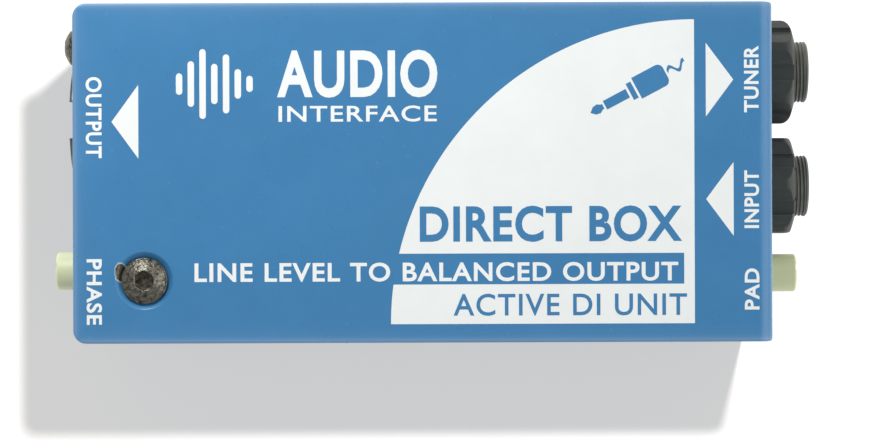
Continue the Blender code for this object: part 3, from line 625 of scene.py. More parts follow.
class Workpiece:
    """A piece on the bench: one mesh, with the operations that shape it."""

    def __init__(self, name: str, bm: bmesh.types.BMesh, outward: bool = True) -> None:
        """Turn a bmesh into an object of the scene.

        Args:
            name: The piece's name.
            bm: Its faces; it is freed here.
            outward: Whether the faces are turned to point out first.
        """
        if outward:
            bmesh.ops.recalc_face_normals(bm, faces=bm.faces[:])
        mesh = bpy.data.meshes.new(name)
        bm.to_mesh(mesh)
        bm.free()
        self.obj = bpy.data.objects.new(name, mesh)
        bpy.context.scene.collection.objects.link(self.obj)

    @classmethod
    def lathe(cls, name: str, profile: Sequence[Point2], place: Matrix, steps: int = 64,
              ring: bool = False) -> "Workpiece":
        """Turn a profile of (radius, height) points about its own Z axis.

        Args:
            name: The piece's name.
            profile: The points, from one end on the axis to the other, or all round for a ring.
            place: Where the axis goes.
            steps: Facets round the axis.
            ring: Whether the profile is a closed loop clear of the axis.

        Returns:
            The turned piece.
        """
        bm = bmesh.new()
        rows = []
        for radius, height in profile:
            if radius < 1e-9:
                rows.append([bm.verts.new(place @ Vector((0, 0, height)))] * steps)
                continue
            turns = [2 * math.pi * i / steps for i in range(steps)]
            rows.append([bm.verts.new(place @ Vector((radius * math.cos(a), radius * math.sin(a), height)))
                         for a in turns])
        pairs = list(zip(rows, rows[1:])) + ([(rows[-1], rows[0])] if ring else [])
        for upper, lower in pairs:
            for i in range(steps):
                j = (i + 1) % steps
                bm.faces.new(list(dict.fromkeys((upper[i], upper[j], lower[j], lower[i]))))
        return cls(name, bm)

    @classmethod
    def drill(cls, name: str, radius: float, place: Matrix, reach: float = 4 * MM,
              steps: int = 72) -> "Workpiece":
        """A drill that runs the same distance each way from a place.

        Args:
            name: The piece's name.
            radius: The drill's radius.
            place: Where its axis goes.
            reach: How far it runs each way.
            steps: Facets round it.

        Returns:
            The drill.
        """
        ends = [(0.0, -reach), (radius, -reach), (radius, reach), (0.0, reach)]
        return cls.lathe(name, ends, place, steps)

    @classmethod
    def skin(cls, name: str, rings: Sequence[Sequence[Vector]], ring: bool = False) -> "Workpiece":
        """A skin over rings of points, joined end to end for a ring, or with a lid at each end.

        Args:
            name: The piece's name.
            rings: The rings, in order, with as many points each.
            ring: Whether the last ring joins the first.

        Returns:
            The closed skin.
        """
        bm = bmesh.new()
        rows = [[bm.verts.new(point) for point in points] for points in rings]
        for lower, upper in zip(rows, rows[1:] + rows[:1] if ring else rows[1:]):
            for i in range(len(lower)):
                j = (i + 1) % len(lower)
                bm.faces.new((lower[i], lower[j], upper[j], upper[i]))
        if not ring:
            bm.faces.new(rows[0])
            bm.faces.new(rows[-1])
        return cls(name, bm)

    @classmethod
    def sheet_metal(cls, name: str, bm: bmesh.types.BMesh, thickness: float,
                    outward: float) -> "Workpiece":
        """Give a folded skin the thickness of its sheet, inwards from its outer side.

        Args:
            name: The piece's name.
            bm: The skin; it is freed here.
            thickness: The sheet's thickness.
            outward: 1.0 if the outer side of the largest face is its top, or -1.0 if its underside.

        Returns:
            The folded sheet.
        """
        bmesh.ops.recalc_face_normals(bm, faces=bm.faces[:])
        if max(bm.faces, key=lambda face: face.calc_area()).normal.z * outward < 0:
            bmesh.ops.reverse_faces(bm, faces=bm.faces[:])
        made = cls(name, bm, outward=False)
        return made.modifier('SOLIDIFY', thickness=thickness, offset=-1.0, use_even_offset=True).settle()

    @classmethod
    def block(cls, name: str, low: Sequence[float], high: Sequence[float], rounding: float = 0.0,
              segments: int = 4, place: Optional[Matrix] = None) -> "Workpiece":
        """A box between two corners with its edges rounded, moved by a matrix if one is given.

        Args:
            name: The piece's name.
            low: Its lowest corner.
            high: Its highest corner.
            rounding: Radius along its edges.
            segments: Facets across a rounded edge.
            place: Where it is moved to.

        Returns:
            The box.
        """
        low, high = Vector(low), Vector(high)
        bm = bmesh.new()
        size = Matrix.Translation((low + high) / 2) @ Matrix.Diagonal((*(high - low), 1.0))
        bmesh.ops.create_cube(bm, size=1.0, matrix=size)
        if rounding:
            bmesh.ops.bevel(bm, geom=bm.edges[:], offset=rounding, segments=segments, profile=0.5,
                            affect='EDGES')
        if place is not None:
            bmesh.ops.transform(bm, matrix=place, verts=bm.verts)
        return cls(name, bm)

    @classmethod
    def prism(cls, name: str, sides: int, radius: float, height: float, turn: float,
              place: Matrix) -> "Workpiece":
        """An upright prism on a regular polygon, its first corner turned from the local X axis.

        Args:
            name: The piece's name.
            sides: The polygon's sides.
            radius: Its corners' radius.
            height: How tall it stands.
            turn: The corner's angle, in radians.
            place: Where the prism stands.

        Returns:
            The prism.
        """
        bm = bmesh.new()
        bmesh.ops.create_cone(bm, cap_ends=True, segments=sides, radius1=radius, radius2=radius,
                              depth=height, matrix=Matrix.Translation((0, 0, height / 2)))
        bmesh.ops.transform(bm, matrix=place @ Matrix.Rotation(turn, 4, 'Z'), verts=bm.verts)
        return cls(name, bm)

    @classmethod
    def plate(cls, name: str, outline: Sequence[Point2], low: float, high: float) -> "Workpiece":
        """A flat piece with a given outline between two heights.

        Args:
            name: The piece's name.
            outline: Its corners, in order.
            low: Its underside.
            high: Its top.

        Returns:
            The plate.
        """
        bm = bmesh.new()
        face = bm.faces.new([bm.verts.new((x, y, low)) for x, y in outline])
        grown = bmesh.ops.extrude_face_region(bm, geom=[face])["geom"]
        lifted = [item for item in grown if isinstance(item, bmesh.types.BMVert)]
        bmesh.ops.translate(bm, verts=lifted, vec=(0, 0, high - low))
        return cls(name, bm)

    def modifier(self, kind: str, **settings: object) -> "Workpiece":
        """Add a modifier with its settings.

        Args:
            kind: The modifier's type.
            **settings: Its properties.

        Returns:
            The piece itself.
        """
        made = self.obj.modifiers.new(kind.lower(), kind)
        for key, value in settings.items():
            setattr(made, key, value)
        return self

    def combine(self, operation: str, *tools: "Workpiece") -> "Workpiece":
        """Cut, join or intersect with other pieces, which are used up.

        Args:
            operation: DIFFERENCE, UNION or INTERSECT.
            *tools: The other pieces.

        Returns:
            The piece itself.
        """
        for tool in tools:
            self.modifier('BOOLEAN', operation=operation, solver='EXACT', object=tool.obj)
        self.settle()
        for tool in tools:
            mesh = tool.obj.data
            bpy.data.objects.remove(tool.obj, do_unlink=True)
            bpy.data.meshes.remove(mesh)
        return self

    def cut(self, *tools: "Workpiece") -> "Workpiece":
        """Take other pieces' shapes away."""
        return self.combine('DIFFERENCE', *tools)

    def join(self, *tools: "Workpiece") -> "Workpiece":
        """Make one solid with other pieces."""
        return self.combine('UNION', *tools)

    def keep(self, tool: "Workpiece") -> "Workpiece":
        """Keep only what lies inside another piece."""
        return self.combine('INTERSECT', tool)

    def soften(self, width: float, segments: int = 3, angle: float = 40.0) -> "Workpiece":
        """Round every edge sharper than an angle.

        Args:
            width: Width of the rounding.
            segments: Facets across it.
            angle: The least angle, in degrees.

        Returns:
            The piece itself.
        """
        self.modifier('BEVEL', width=width, segments=segments, limit_method='ANGLE',
                      angle_limit=math.radians(angle), use_clamp_overlap=False,
                      harden_normals=False)
        return self.settle()

    def settle(self) -> "Workpiece":
        """Turn the modifiers' result into the piece's own mesh."""
        bpy.context.view_layer.update()
        seen = self.obj.evaluated_get(bpy.context.evaluated_depsgraph_get())
        mesh = bpy.data.meshes.new_from_object(seen)
        old = self.obj.data
        self.obj.modifiers.clear()
        self.obj.data = mesh
        bpy.data.meshes.remove(old)
        return self

    def polish(self, angle: float = 30.0, weighted: bool = True) -> "Workpiece":
        """Shade smooth up to an angle, with large flat faces kept flat.

        Args:
            angle: The angle, in degrees.
            weighted: Whether large faces bend the normals.

        Returns:
            The piece itself.
        """
        self.obj.data.shade_smooth()
        self.obj.data.set_sharp_from_angle(angle=math.radians(angle))
        if weighted:
            self.modifier('WEIGHTED_NORMAL', keep_sharp=True, weight=50)
            self.settle()
        return self

    def deliver(self, finish: Finish, body: Body, slot: str,
                replaces: Iterable[str] = ()) -> bpy.types.Object:
        """Dress the piece and fix it to the frame.

        Args:
            finish: Its finish.
            body: The body that it rides on.
            slot: The record's material slot; not used.
            replaces: The frame's nodes that it stands for.

        Returns:
            The finished object.
        """
        self.obj.data.name = self.obj.name
        self.obj.data.materials.clear()
        self.obj.data.materials.append(finish.material())
        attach(self.obj, body.value)
        names = list(replaces)
        if names:
            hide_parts(*names)
        LOG.info("%s: %d faces on %s", self.obj.name, len(self.obj.data.polygons), body.value)
        return self.obj


def measure(node: str) -> Tuple[Vector, Vector, Vector]:
    """Lowest corner, highest corner and middle of a node's box."""
    low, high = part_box(node)
    return low, high, (low + high) / 2


def middle(node: str) -> Vector:
    """Middle of a node's box."""
    return measure(node)[2]


def carry(frame: dict, finish: Finish, *names: str) -> None:
    """Give nodes of the frame a finish and leave them in place.

    Args:
        frame: The loaded frame.
        finish: The finish.
        *names: The nodes.
    """
    for name in names:
        obj = frame["nodes"][name]
        for slot in obj.material_slots:
            slot.material = finish.material()
        LOG.info("%s: carried with %s", name, finish.name)


# ------------------------------------------------------------------------------------------------
# Case
# ------------------------------------------------------------------------------------------------

@dataclass
class CoverShell:
    """Top and input plate, folded from one sheet, with the dimple for its one screw."""

    palette: Palette
    sheet: float = 1.9 * MM
    fold: float = 2.3 * MM
    corner: float = 2.0 * MM
    paint: float = 0.42 * MM
    dimple: float = 4.45 * MM
    dimple_floor: float = 3.45 * MM
    dimple_deep: float = 0.9 * MM
    lip: float = 0.40 * MM
    lip_lift: float = 0.004 * MM
    screw_hole: float = 2.3 * MM
    bush_slack: float = 0.2 * MM
    button_slack: float = 0.35 * MM

    def build(self) -> Workpiece:
        """Fold the sheet, drill it and press the dimple."""
        low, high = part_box("cover")
        bm = bmesh.new()
        top = [(low.x, low.y), (high.x, low.y), (high.x, high.y), (low.x, high.y)]
        bm.faces.new([bm.verts.new((x, y, high.z)) for x, y in top])
        fold = [e for e in bm.edges if all(v.co.x > 0 for v in e.verts)]
        grown = bmesh.ops.extrude_edge_only(bm, edges=fold)["geom"]
        lower = [v for v in grown if isinstance(v, bmesh.types.BMVert)]
        bmesh.ops.translate(bm, verts=lower, vec=(0, 0, low.z - high.z))
        bmesh.ops.bevel(bm, geom=fold, offset=self.fold, segments=14, profile=0.5, affect='EDGES')
        ends = [v for v in bm.verts if v.co.x < low.x + MM or v.co.z < low.z + MM]
        bmesh.ops.bevel(bm, geom=ends, offset=self.corner, segments=10, profile=0.5,
                        affect='VERTICES')
        shell = Workpiece.sheet_metal("cover_shell", bm, self.sheet, 1.0)
        shell.cut(*self.holes(high))
        return shell.soften(self.paint, 3, 50.0).polish(28.0)

    def holes(self, high: Vector) -> Iterable[Workpiece]:
        """Tools for the three round holes of the input plate and for the dimple.

        Args:
            high: The cover's highest corner.

        Returns:
            The tools, one after another.
        """
        for node, slack in (("tuner_jack_bush", self.bush_slack), ("input_jack_bush", self.bush_slack),
                            ("pad_button", self.button_slack)):
            small, large, centre = measure(node)
            radius = (large.y - small.y) / 2 + slack
            yield Workpiece.drill(node + "_hole", radius, Facing.RIGHT.at((high.x, *centre.yz)))
        centre = middle("cover_screw")
        place = Facing.UP.at((centre.x, centre.y, high.z))
        rim = arc((self.dimple, self.lip_lift - self.lip), self.lip, 90, 130, 7)
        well = [(0.0, MM), (rim[0][0], MM)] + rim
        well += [(self.dimple_floor, 0.22 * MM - self.dimple_deep),
                 (self.dimple_floor - 0.10 * MM, -self.dimple_deep), (0.0, -self.dimple_deep)]
        yield Workpiece.lathe("dimple", well, place, 96)
        yield Workpiece.drill("screw_hole", self.screw_hole, place, steps=48)

    def dress(self) -> None:
        """Build the shell and fix it to the case."""
        self.build().deliver(self.palette.enamel, Body.CASE, "blue_enamel", ["cover"])


@dataclass
class ChassisTray:
    """Bottom, two long sides, output plate and input wall, with the tab for the cover's screw."""

    palette: Palette
    sheet: float = 1.9 * MM
    fold: float = 2.3 * MM
    paint: float = 0.35 * MM
    tab_half: float = 5 * MM
    tab_past: float = 6.5 * MM
    connector_hole: float = 9.8 * MM
    bush_hole: float = 5.05 * MM
    button_hole: float = 3.4 * MM
    connector_screw_hole: float = 1.8 * MM
    cover_screw_hole: float = 2.3 * MM

    def build(self) -> Workpiece:
        """Fold the tray, add the tab and drill it."""
        low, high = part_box("base_chassis")
        bm = bmesh.new()
        shape = Matrix.Translation((low + high) / 2) @ Matrix.Diagonal((*(high - low), 1.0))
        bmesh.ops.create_cube(bm, size=1.0, matrix=shape)
        lid = [f for f in bm.faces if f.normal.z > 0.9]
        rim = {e for f in lid for e in f.edges}
        bmesh.ops.delete(bm, geom=lid, context='FACES_ONLY')
        folds = [e for e in bm.edges if e not in rim]
        bmesh.ops.bevel(bm, geom=folds, offset=self.fold, segments=8, profile=0.5, affect='EDGES')
        tray = Workpiece.sheet_metal("chassis_tray", bm, self.sheet, -1.0)
        screw = middle("cover_screw")
        tab_low = (low.x + self.sheet / 2, screw.y - self.tab_half, high.z - self.sheet)
        tab_high = (screw.x + self.tab_past, screw.y + self.tab_half, high.z)
        tray.join(Workpiece.block("tab", tab_low, tab_high))
        tray.cut(*self.holes(low, high))
        return tray.soften(self.paint, 3, 50.0).polish(28.0)

    def holes(self, low: Vector, high: Vector) -> Iterable[Workpiece]:
        """Tools for every hole of the tray.

        Args:
            low: The tray's lowest corner.
            high: Its highest corner.

        Returns:
            The tools, one after another.
        """
        screw = middle("cover_screw")
        yield Workpiece.drill("tab_hole", self.cover_screw_hole,
                              Facing.UP.at((screw.x, screw.y, high.z)))
        for facing, x, node, radius in (
                (Facing.LEFT, low.x, "xlr_housing", self.connector_hole),
                (Facing.LEFT, low.x, "xlr_screw_upper", self.connector_screw_hole),
                (Facing.LEFT, low.x, "xlr_screw_lower", self.connector_screw_hole),
                (Facing.LEFT, low.x, "phase_button", self.button_hole),
                (Facing.RIGHT, high.x, "tuner_jack_bush", self.bush_hole),
                (Facing.RIGHT, high.x, "input_jack_bush", self.bush_hole),
                (Facing.RIGHT, high.x, "pad_button", self.button_hole)):
            yield Workpiece.drill(node + "_hole", radius, facing.at((x, *middle(node).yz)))

    def dress(self) -> None:
        """Build the tray and fix it to the case."""
        self.build().deliver(self.palette.plain_enamel, Body.CASE, "blue_enamel", ["base_chassis"])


@dataclass
class FloorPad:
    """Non-slip pad that covers the underside, with pressed grooves."""

    palette: Palette
    corner: float = 2.5 * MM
    grooves: int = 4
    groove_deep: float = 0.5 * MM
    groove_half: float = 1.2 * MM
    groove_inset: float = 6 * MM

    def dress(self) -> None:
        """Build the pad and fix it to the case."""
        low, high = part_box("floor_pad")
        inset = self.corner
        outline = []
        for x, y, start in ((high.x - inset, high.y - inset, 0), (low.x + inset, high.y - inset, 90),
                            (low.x + inset, low.y + inset, 180), (high.x - inset, low.y + inset, 270)):
            outline += arc((x, y), inset, start, start + 90, 10)
        pad = Workpiece.plate("floor_cushion", outline, low.z, high.z)
        step = (high.y - low.y) / (self.grooves + 1)
        tools = []
        for i in range(self.grooves):
            y = low.y + step * (i + 1)
            tools.append(Workpiece.block(
                f"groove_{i}", (low.x + self.groove_inset, y - self.groove_half, low.z - MM),
                (high.x - self.groove_inset, y + self.groove_half, low.z + self.groove_deep)))
        pad.cut(*tools).soften(0.25 * MM, 3, 50.0).polish(30.0)
        pad.deliver(self.palette.foam, Body.CASE, "neoprene", ["floor_pad"])


# ------------------------------------------------------------------------------------------------
# Printing on the cover
# ------------------------------------------------------------------------------------------------

class Turn(Enum):
    """How a printed word stands on the cover."""

    LEVEL = 0
    UPWARD = 90
    DOWNWARD = -90


@dataclass
class Print:
    """Screen printing on the top of the cover; boxes are (left, low, right, high) in millimetres."""

    palette: Palette
    film: float = 0.02 * MM
    second_film: float = 0.035 * MM
    sink: float = 0.01 * MM
    start_x: float = -0.10 * MM
    curve_steps: int = 5

    def lettering(self, name: str, words: str, box: Tuple[float, float, float, float],
                  turn: Turn = Turn.LEVEL, bold: float = 0.018, spacing: float = 1.1) -> Workpiece:
        """Set words in the plain built-in face so that they fill a box.

        Args:
            name: The piece's name.
            words: What it says.
            box: Where it goes.
            turn: Which way it reads.
            bold: How far the outline is thickened, against the type's size.
            spacing: Space between letters.

        Returns:
            The raised letters.
        """
        curve = bpy.data.curves.new(name, 'FONT')
        curve.body, curve.size, curve.resolution_u = words, 1.0, self.curve_steps
        curve.offset, curve.space_character = bold, spacing
        type_obj = bpy.data.objects.new(name, curve)
        bpy.context.scene.collection.objects.link(type_obj)
        bpy.context.view_layer.update()
        seen = type_obj.evaluated_get(bpy.context.evaluated_depsgraph_get())
        mesh = bpy.data.meshes.new_from_object(seen)
        bpy.data.objects.remove(type_obj, do_unlink=True)
        bpy.data.curves.remove(curve)
        bm = bmesh.new()
        bm.from_mesh(mesh)
        bpy.data.meshes.remove(mesh)
        bmesh.ops.remove_doubles(bm, verts=bm.verts, dist=1e-5)
        bmesh.ops.rotate(bm, verts=bm.verts, matrix=Matrix.Rotation(math.radians(turn.value), 3, 'Z'))
        xs, ys = [v.co.x for v in bm.verts], [v.co.y for v in bm.verts]
        left, low, right, high = box
        for v in bm.verts:
            v.co.x = (left + (v.co.x - min(xs)) / (max(xs) - min(xs)) * (right - left)) * MM
            v.co.y = (low + (v.co.y - min(ys)) / (max(ys) - min(ys)) * (high - low)) * MM
        return self.raised(name, bm)

    def shape(self, name: str, *outlines: Sequence[Point2]) -> Workpiece:
        """Print flat outlines, given in millimetres, as one piece.

        Args:
            name: The piece's name.
            *outlines: The outlines.

        Returns:
            The raised print.
        """
        bm = bmesh.new()
        for outline in outlines:
            bm.faces.new([bm.verts.new((x * MM, y * MM, 0)) for x, y in outline])
        return self.raised(name, bm)

    def raised(self, name: str, bm: bmesh.types.BMesh) -> Workpiece:
        """Give flat faces the thickness of the ink, seated just under the enamel's surface.

        Args:
            name: The piece's name.
            bm: The flat faces; it is freed here.

        Returns:
            The raised print.
        """
        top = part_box("cover")[1].z
        bm.normal_update()
        bmesh.ops.reverse_faces(bm, faces=[face for face in bm.faces if face.normal.z < 0])
        bmesh.ops.translate(bm, verts=bm.verts, vec=(self.start_x, 0, top - self.sink))
        under = bm.faces[:]
        grown = bmesh.ops.extrude_face_region(bm, geom=under, use_keep_orig=True)["geom"]
        lifted = [item for item in grown if isinstance(item, bmesh.types.BMVert)]
        bmesh.ops.translate(bm, verts=lifted, vec=(0, 0, self.sink + self.film))
        bmesh.ops.reverse_faces(bm, faces=under)
        for face in bm.faces:
            face.smooth = False
        return Workpiece(name, bm, outward=False)

    def panel(self) -> Workpiece:
        """The quarter disc, with a notch that the blue strip runs into."""
        centre, radius = (40.57, -22.6), 45.3
        strip_low, strip_high, strip_end = -16.7, -12.1, 39.0

        def crossing(y: float) -> float:
            """Angle at which the disc's rim stands at a height."""
            return 180 - math.degrees(math.asin((y - centre[1]) / radius))

        rim_low = arc(centre, radius, crossing(strip_low), 180, 12)
        rim_high = arc(centre, radius, 90, crossing(strip_high), 90)
        outline = [centre, (centre[0], centre[1] + radius)] + rim_high[1:]
        outline += [(strip_end, strip_high), (strip_end, strip_low)] + rim_low
        return self.shape("printed_panel", outline)

    @staticmethod
    def bar(x: float, y: float, half: float, tall: float) -> list:
        """Outline of an upright bar with round ends.

        Args:
            x: Its middle across.
            y: Its middle upwards.
            half: Half its width.
            tall: Half its height.

        Returns:
            The outline.
        """
        top = arc((x, y + tall - half), half, 0, 180, 9)
        return top + arc((x, y - tall + half), half, 180, 360, 9)

    def wave(self) -> Workpiece:
        """The row of round-ended bars that stands for a sound wave."""
        heights = (1.6, 3.4, 5.2, 3.0, 4.4, 2.2, 1.2)
        return self.shape("printed_wave", *(self.bar(-36.2 + 1.75 * i, 13.3, 0.48, tall)
                                            for i, tall in enumerate(heights)))

    def plug(self) -> Iterable[Workpiece]:
        """The picture of a quarter-inch plug on its lead, aslant in the panel."""
        turn = math.radians(28)

        def tilt(outline: Sequence[Point2]) -> list:
            """Turn an outline and carry it to the picture's place."""
            return [(31.2 + x * math.cos(turn) - y * math.sin(turn),
                     12.0 + x * math.sin(turn) + y * math.cos(turn)) for x, y in outline]

        tip = [(-6.9, 0.0), (-6.2, 0.62), (-5.5, 0.72), (-5.0, 0.40), (-4.75, 0.40), (-4.75, -0.40),
               (-5.0, -0.40), (-5.5, -0.72), (-6.2, -0.62)]
        ring = [(-4.45, 0.72), (-0.6, 0.72), (-0.6, -0.72), (-4.45, -0.72)]
        collar = [(-0.25, 1.35), (0.55, 1.35), (0.55, -1.35), (-0.25, -1.35)]
        handle = [(0.9, 1.75)] + arc((4.9, 0.85), 0.9, 90, 0, 6) + arc((4.9, -0.85), 0.9, 0, -90, 6)
        handle += [(0.9, -1.75)]
        lead = [(6.1 + 0.2 * i, 0.28 + 0.55 * math.sin(0.55 * i)) for i in range(16)]
        lead += [(x, y - 0.56) for x, y in reversed(lead)]
        yield self.shape("printed_plug", *(tilt(part) for part in (tip, ring, collar, handle, lead)))

    def arrows(self) -> Workpiece:
        """The three arrowheads beside the sockets."""
        return self.shape("printed_arrows",
                          [(-46.3, 7.7), (-42.3, 2.2), (-42.3, 13.2)],
                          [(42.3, 8.2), (46.4, 13.7), (42.3, 19.2)],
                          [(46.4, -9.6), (46.4, 1.4), (42.3, -4.1)])

    def dress(self) -> None:
        """Print everything and fix it to the case."""
        self.white()
        self.blue()

    def white(self) -> None:
        """The panel, the arrows, the wave and the white words."""
        pieces = [self.panel(), self.arrows(), self.wave()]
        for name, words, box, turn in (
                ("word_output", "OUTPUT", (-50.15, 2.3, -47.75, 14.4), Turn.DOWNWARD),
                ("word_phase", "PHASE", (-50.1, -22.55, -47.8, -12.75), Turn.DOWNWARD),
                ("word_tuner", "TUNER", (48.0, 8.8, 50.2, 18.75), Turn.UPWARD),
                ("word_input", "INPUT", (48.0, -8.45, 50.2, 0.15), Turn.UPWARD),
                ("word_pad", "PAD", (48.0, -20.6, 50.2, -14.45), Turn.UPWARD)):
            pieces.append(self.lettering(name, words, box, turn, bold=0.026))
        pieces.append(self.lettering("line_output", "LINE LEVEL TO BALANCED OUTPUT",
                                     (-34.0, -16.25, 38.1, -13.4), bold=0.022))
        pieces.append(self.lettering("name_audio", "AUDIO", (-21.6, 11.2, 2.3, 18.3), bold=0.03))
        pieces.append(self.lettering("name_interface", "INTERFACE", (-21.4, 7.6, 2.2, 10.0), bold=0.012))
        for piece in pieces:
            piece.deliver(self.palette.ink, Body.CASE, "blue_enamel")

    def blue(self) -> None:
        """What is printed blue in the panel, a film higher than the white."""
        pieces = [*self.plug(),
                  self.lettering("name_direct_box", "DIRECT BOX", (-0.4, -10.4, 38.7, -5.0), bold=0.03),
                  self.lettering("line_active_unit", "ACTIVE DI UNIT", (4.6, -21.4, 39.4, -18.1),
                                 bold=0.012)]
        for piece in pieces:
            for v in piece.obj.data.vertices:
                v.co.z += self.second_film - self.film
            piece.deliver(self.palette.blue_ink, Body.CASE, "blue_enamel")


# ------------------------------------------------------------------------------------------------
# Sockets and their nuts
# ------------------------------------------------------------------------------------------------

@dataclass
class PanelNut:
    """Moulded hexagonal nut with a domed front and a shallow flute along each flat."""

    palette: Palette
    jack: str
    turn: float
    flats: float = 14.6 * MM
    radius: float = 8.05 * MM
    chamfer: float = 0.25 * MM
    soft: float = 0.09 * MM
    dome: float = 1.6 * MM
    front_slope: float = 0.42 * MM
    bore_slack: float = 0.3 * MM
    flute_width: float = 2.4 * MM
    flute_deep: float = 0.50 * MM

    def dress(self) -> None:
        """Build the nut and fix it to the case."""
        node = f"{self.jack}_jack_nut"
        low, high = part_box(node)
        bush_low, bush_high, centre = measure(f"{self.jack}_jack_bush")
        bore = (bush_high.y - bush_low.y) / 2 + self.bore_slack
        tall, wide = high.x - low.x, self.radius
        place = Facing.RIGHT.at((low.x, *centre.yz))
        front = arc((wide - self.dome, tall - self.front_slope - self.dome), self.dome, 76, 0, 12)
        profile = [(bore, tall - self.chamfer), (bore + self.chamfer, tall)] + front
        profile += [(wide, 0.15 * MM), (wide - 0.15 * MM, 0.0), (bore, 0.0)]
        nut = Workpiece.lathe(f"{self.jack}_nut", profile, place, 120, ring=True)
        turned = place @ Matrix.Translation((0, 0, -MM))
        nut.keep(Workpiece.prism("flats", 6, self.flats / 2 / math.cos(math.pi / 6), tall + 2 * MM,
                                 math.radians(self.turn), turned))
        tools, half = [], self.flute_width / 2
        for side in range(6):
            spin = place @ Matrix.Rotation(math.radians(self.turn + 60 * side), 4, 'Z')
            tools.append(Workpiece.block(f"flute_{side}",
                                         (self.flats / 2 - self.flute_deep, -half, -MM),
                                         (self.flats / 2 + MM, half, tall + MM), place=spin))
        nut.cut(*tools).soften(self.soft, 2, 25.0).polish(30.0)
        nut.deliver(self.palette.nylon, Body.CASE, "black_plastic", [node])


@dataclass
class Bush:
    """Threaded bush of a jack: a real helical thread outside and a flared bore inside."""

    palette: Palette
    jack: str
    pitch: float = 0.56 * MM
    deep: float = 0.17 * MM
    bore: float = 3.3 * MM
    threaded: float = 2.7 * MM
    steps: int = 72

    def build(self) -> Workpiece:
        """Sweep the thread's form round the bush and close it through the bore."""
        low, high, centre = measure(f"{self.jack}_jack_bush")
        radius, long = (high.y - low.y) / 2, high.x - low.x
        start = long - self.threaded
        rows = [(radius, 0.0, 0.0), (radius, start - 0.05 * MM, 0.0)]
        count = int(self.threaded / (self.pitch / 8))
        for i in range(count + 1):
            height = start + (self.threaded - 0.30 * MM) * i / count
            rows.append((radius, height, min(1.0, 4 * i / count, 5 * (count - i) / count)))
        rows += [(radius - 0.10 * MM, long - 0.18 * MM, 0.0), (radius - 0.32 * MM, long, 0.0),
                 (self.bore + 0.45 * MM, long, 0.0), (self.bore + 0.12 * MM, long - 0.25 * MM, 0.0),
                 (self.bore, long - 0.8 * MM, 0.0), (self.bore, 0.0, 0.0)]
        place = Facing.RIGHT.at((low.x, *centre.yz))
        rings = []
        for reach, height, cut in rows:
            ring = []
            for i in range(self.steps):
                angle = 2 * math.pi * i / self.steps
                phase = (height / self.pitch - i / self.steps) % 1.0
                root = min(1.0, max(0.0, 1.6 - 3.6 * abs(phase - 0.5)))
                local = reach - self.deep * cut * root
                ring.append(place @ Vector((local * math.cos(angle), local * math.sin(angle), height)))
            rings.append(ring)
        return Workpiece.skin(f"{self.jack}_bush", rings, ring=True).polish(35.0, weighted=False)

    def dress(self, frame: dict) -> None:
        """Build the bush and fix it to the case; dress the jack's body and tip spring.

        Args:
            frame: The loaded frame.
        """
        self.build().deliver(self.palette.worn_nylon, Body.CASE, "black_plastic",
                             [f"{self.jack}_jack_bush"])
        carry(frame, self.palette.nylon, f"{self.jack}_jack_body")
        carry(frame, self.palette.silver, f"{self.jack}_tip_spring")


# ------------------------------------------------------------------------------------------------
# Push buttons
# ------------------------------------------------------------------------------------------------

@dataclass
class PushButton:
    """Round button with softened edges, a step across its end and a pocket for its post."""

    palette: Palette
    name: str
    body: Body
    facing: Facing
    finish: Finish
    soft: float = 0.42 * MM
    step_deep: float = 0.22 * MM
    step_low: float = 0.5 * MM
    step_high: float = 1.3 * MM
    crown: float = 1.6 * MM
    post_half: float = 1.6 * MM
    post_deep: float = 3.3 * MM
    wire: float = 0.2 * MM
    wire_sides: int = 10
    turns: int = 5
    turn_steps: int = 20
    pressed: float = 0.46

    def spring(self) -> None:
        """Wind the return spring and fix it to the case."""
        node = f"{self.name}_return_spring"
        low, high, centre = measure(node)
        fixed = low.x if self.facing is Facing.RIGHT else high.x
        anchor = (fixed, *centre.yz)
        place = self.facing.at(anchor)
        reach, long = (high.z - low.z) / 2 - self.wire, high.x - low.x
        count = self.turns * self.turn_steps
        rings = []
        for i in range(count + 1):
            angle = 2 * math.pi * self.turns * i / count
            height = self.wire + (long - 2 * self.wire) * i / count
            ring = []
            for side in range(self.wire_sides):
                round_wire = 2 * math.pi * side / self.wire_sides
                out = reach + self.wire * math.cos(round_wire)
                ring.append(place @ Vector((out * math.cos(angle), out * math.sin(angle),
                                            height + self.wire * math.sin(round_wire))))
            rings.append(ring)
        coil = Workpiece.skin(f"{self.name}_spring", rings).polish(40.0, weighted=False)
        obj = coil.deliver(self.palette.silver, Body.CASE, "contact_silver", [node])
        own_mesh(obj)

    def dress(self, frame: dict) -> None:
        """Build the button and fix it to its key; dress the parts of the switch behind it.

        Args:
            frame: The loaded frame.
        """
        node = f"{self.name}_button"
        low, high, centre = measure(node)
        radius, long = (high.y - low.y) / 2, high.x - low.x
        back = low.x if self.facing is Facing.RIGHT else high.x
        place = self.facing.at((back, *centre.yz))
        end = [(0.0, long), (radius - self.crown, long - 0.01 * MM)]
        end += arc((radius - self.soft, long - self.soft), self.soft, 86, 0, 8)
        profile = end + [(radius, 0.3 * MM), (radius - 0.15 * MM, 0.0), (0.0, 0.0)]
        cap = Workpiece.lathe(f"{self.name}_cap", profile, place, 72)
        half = self.post_half
        pocket = Workpiece.block("pocket", (-half, -half, -MM), (half, half, self.post_deep), place=place)
        notch = Workpiece.block("notch", (-radius, self.step_low, long - self.step_deep),
                                (radius, self.step_high, long + MM), 0.1 * MM, 2, place)
        cap.cut(pocket, notch).polish(32.0)
        cap.deliver(self.finish, self.body, "ivory_plastic", [node])
        carry(frame, self.palette.nylon, f"{self.name}_plunger", f"{self.name}_switch_body")
        self.spring()


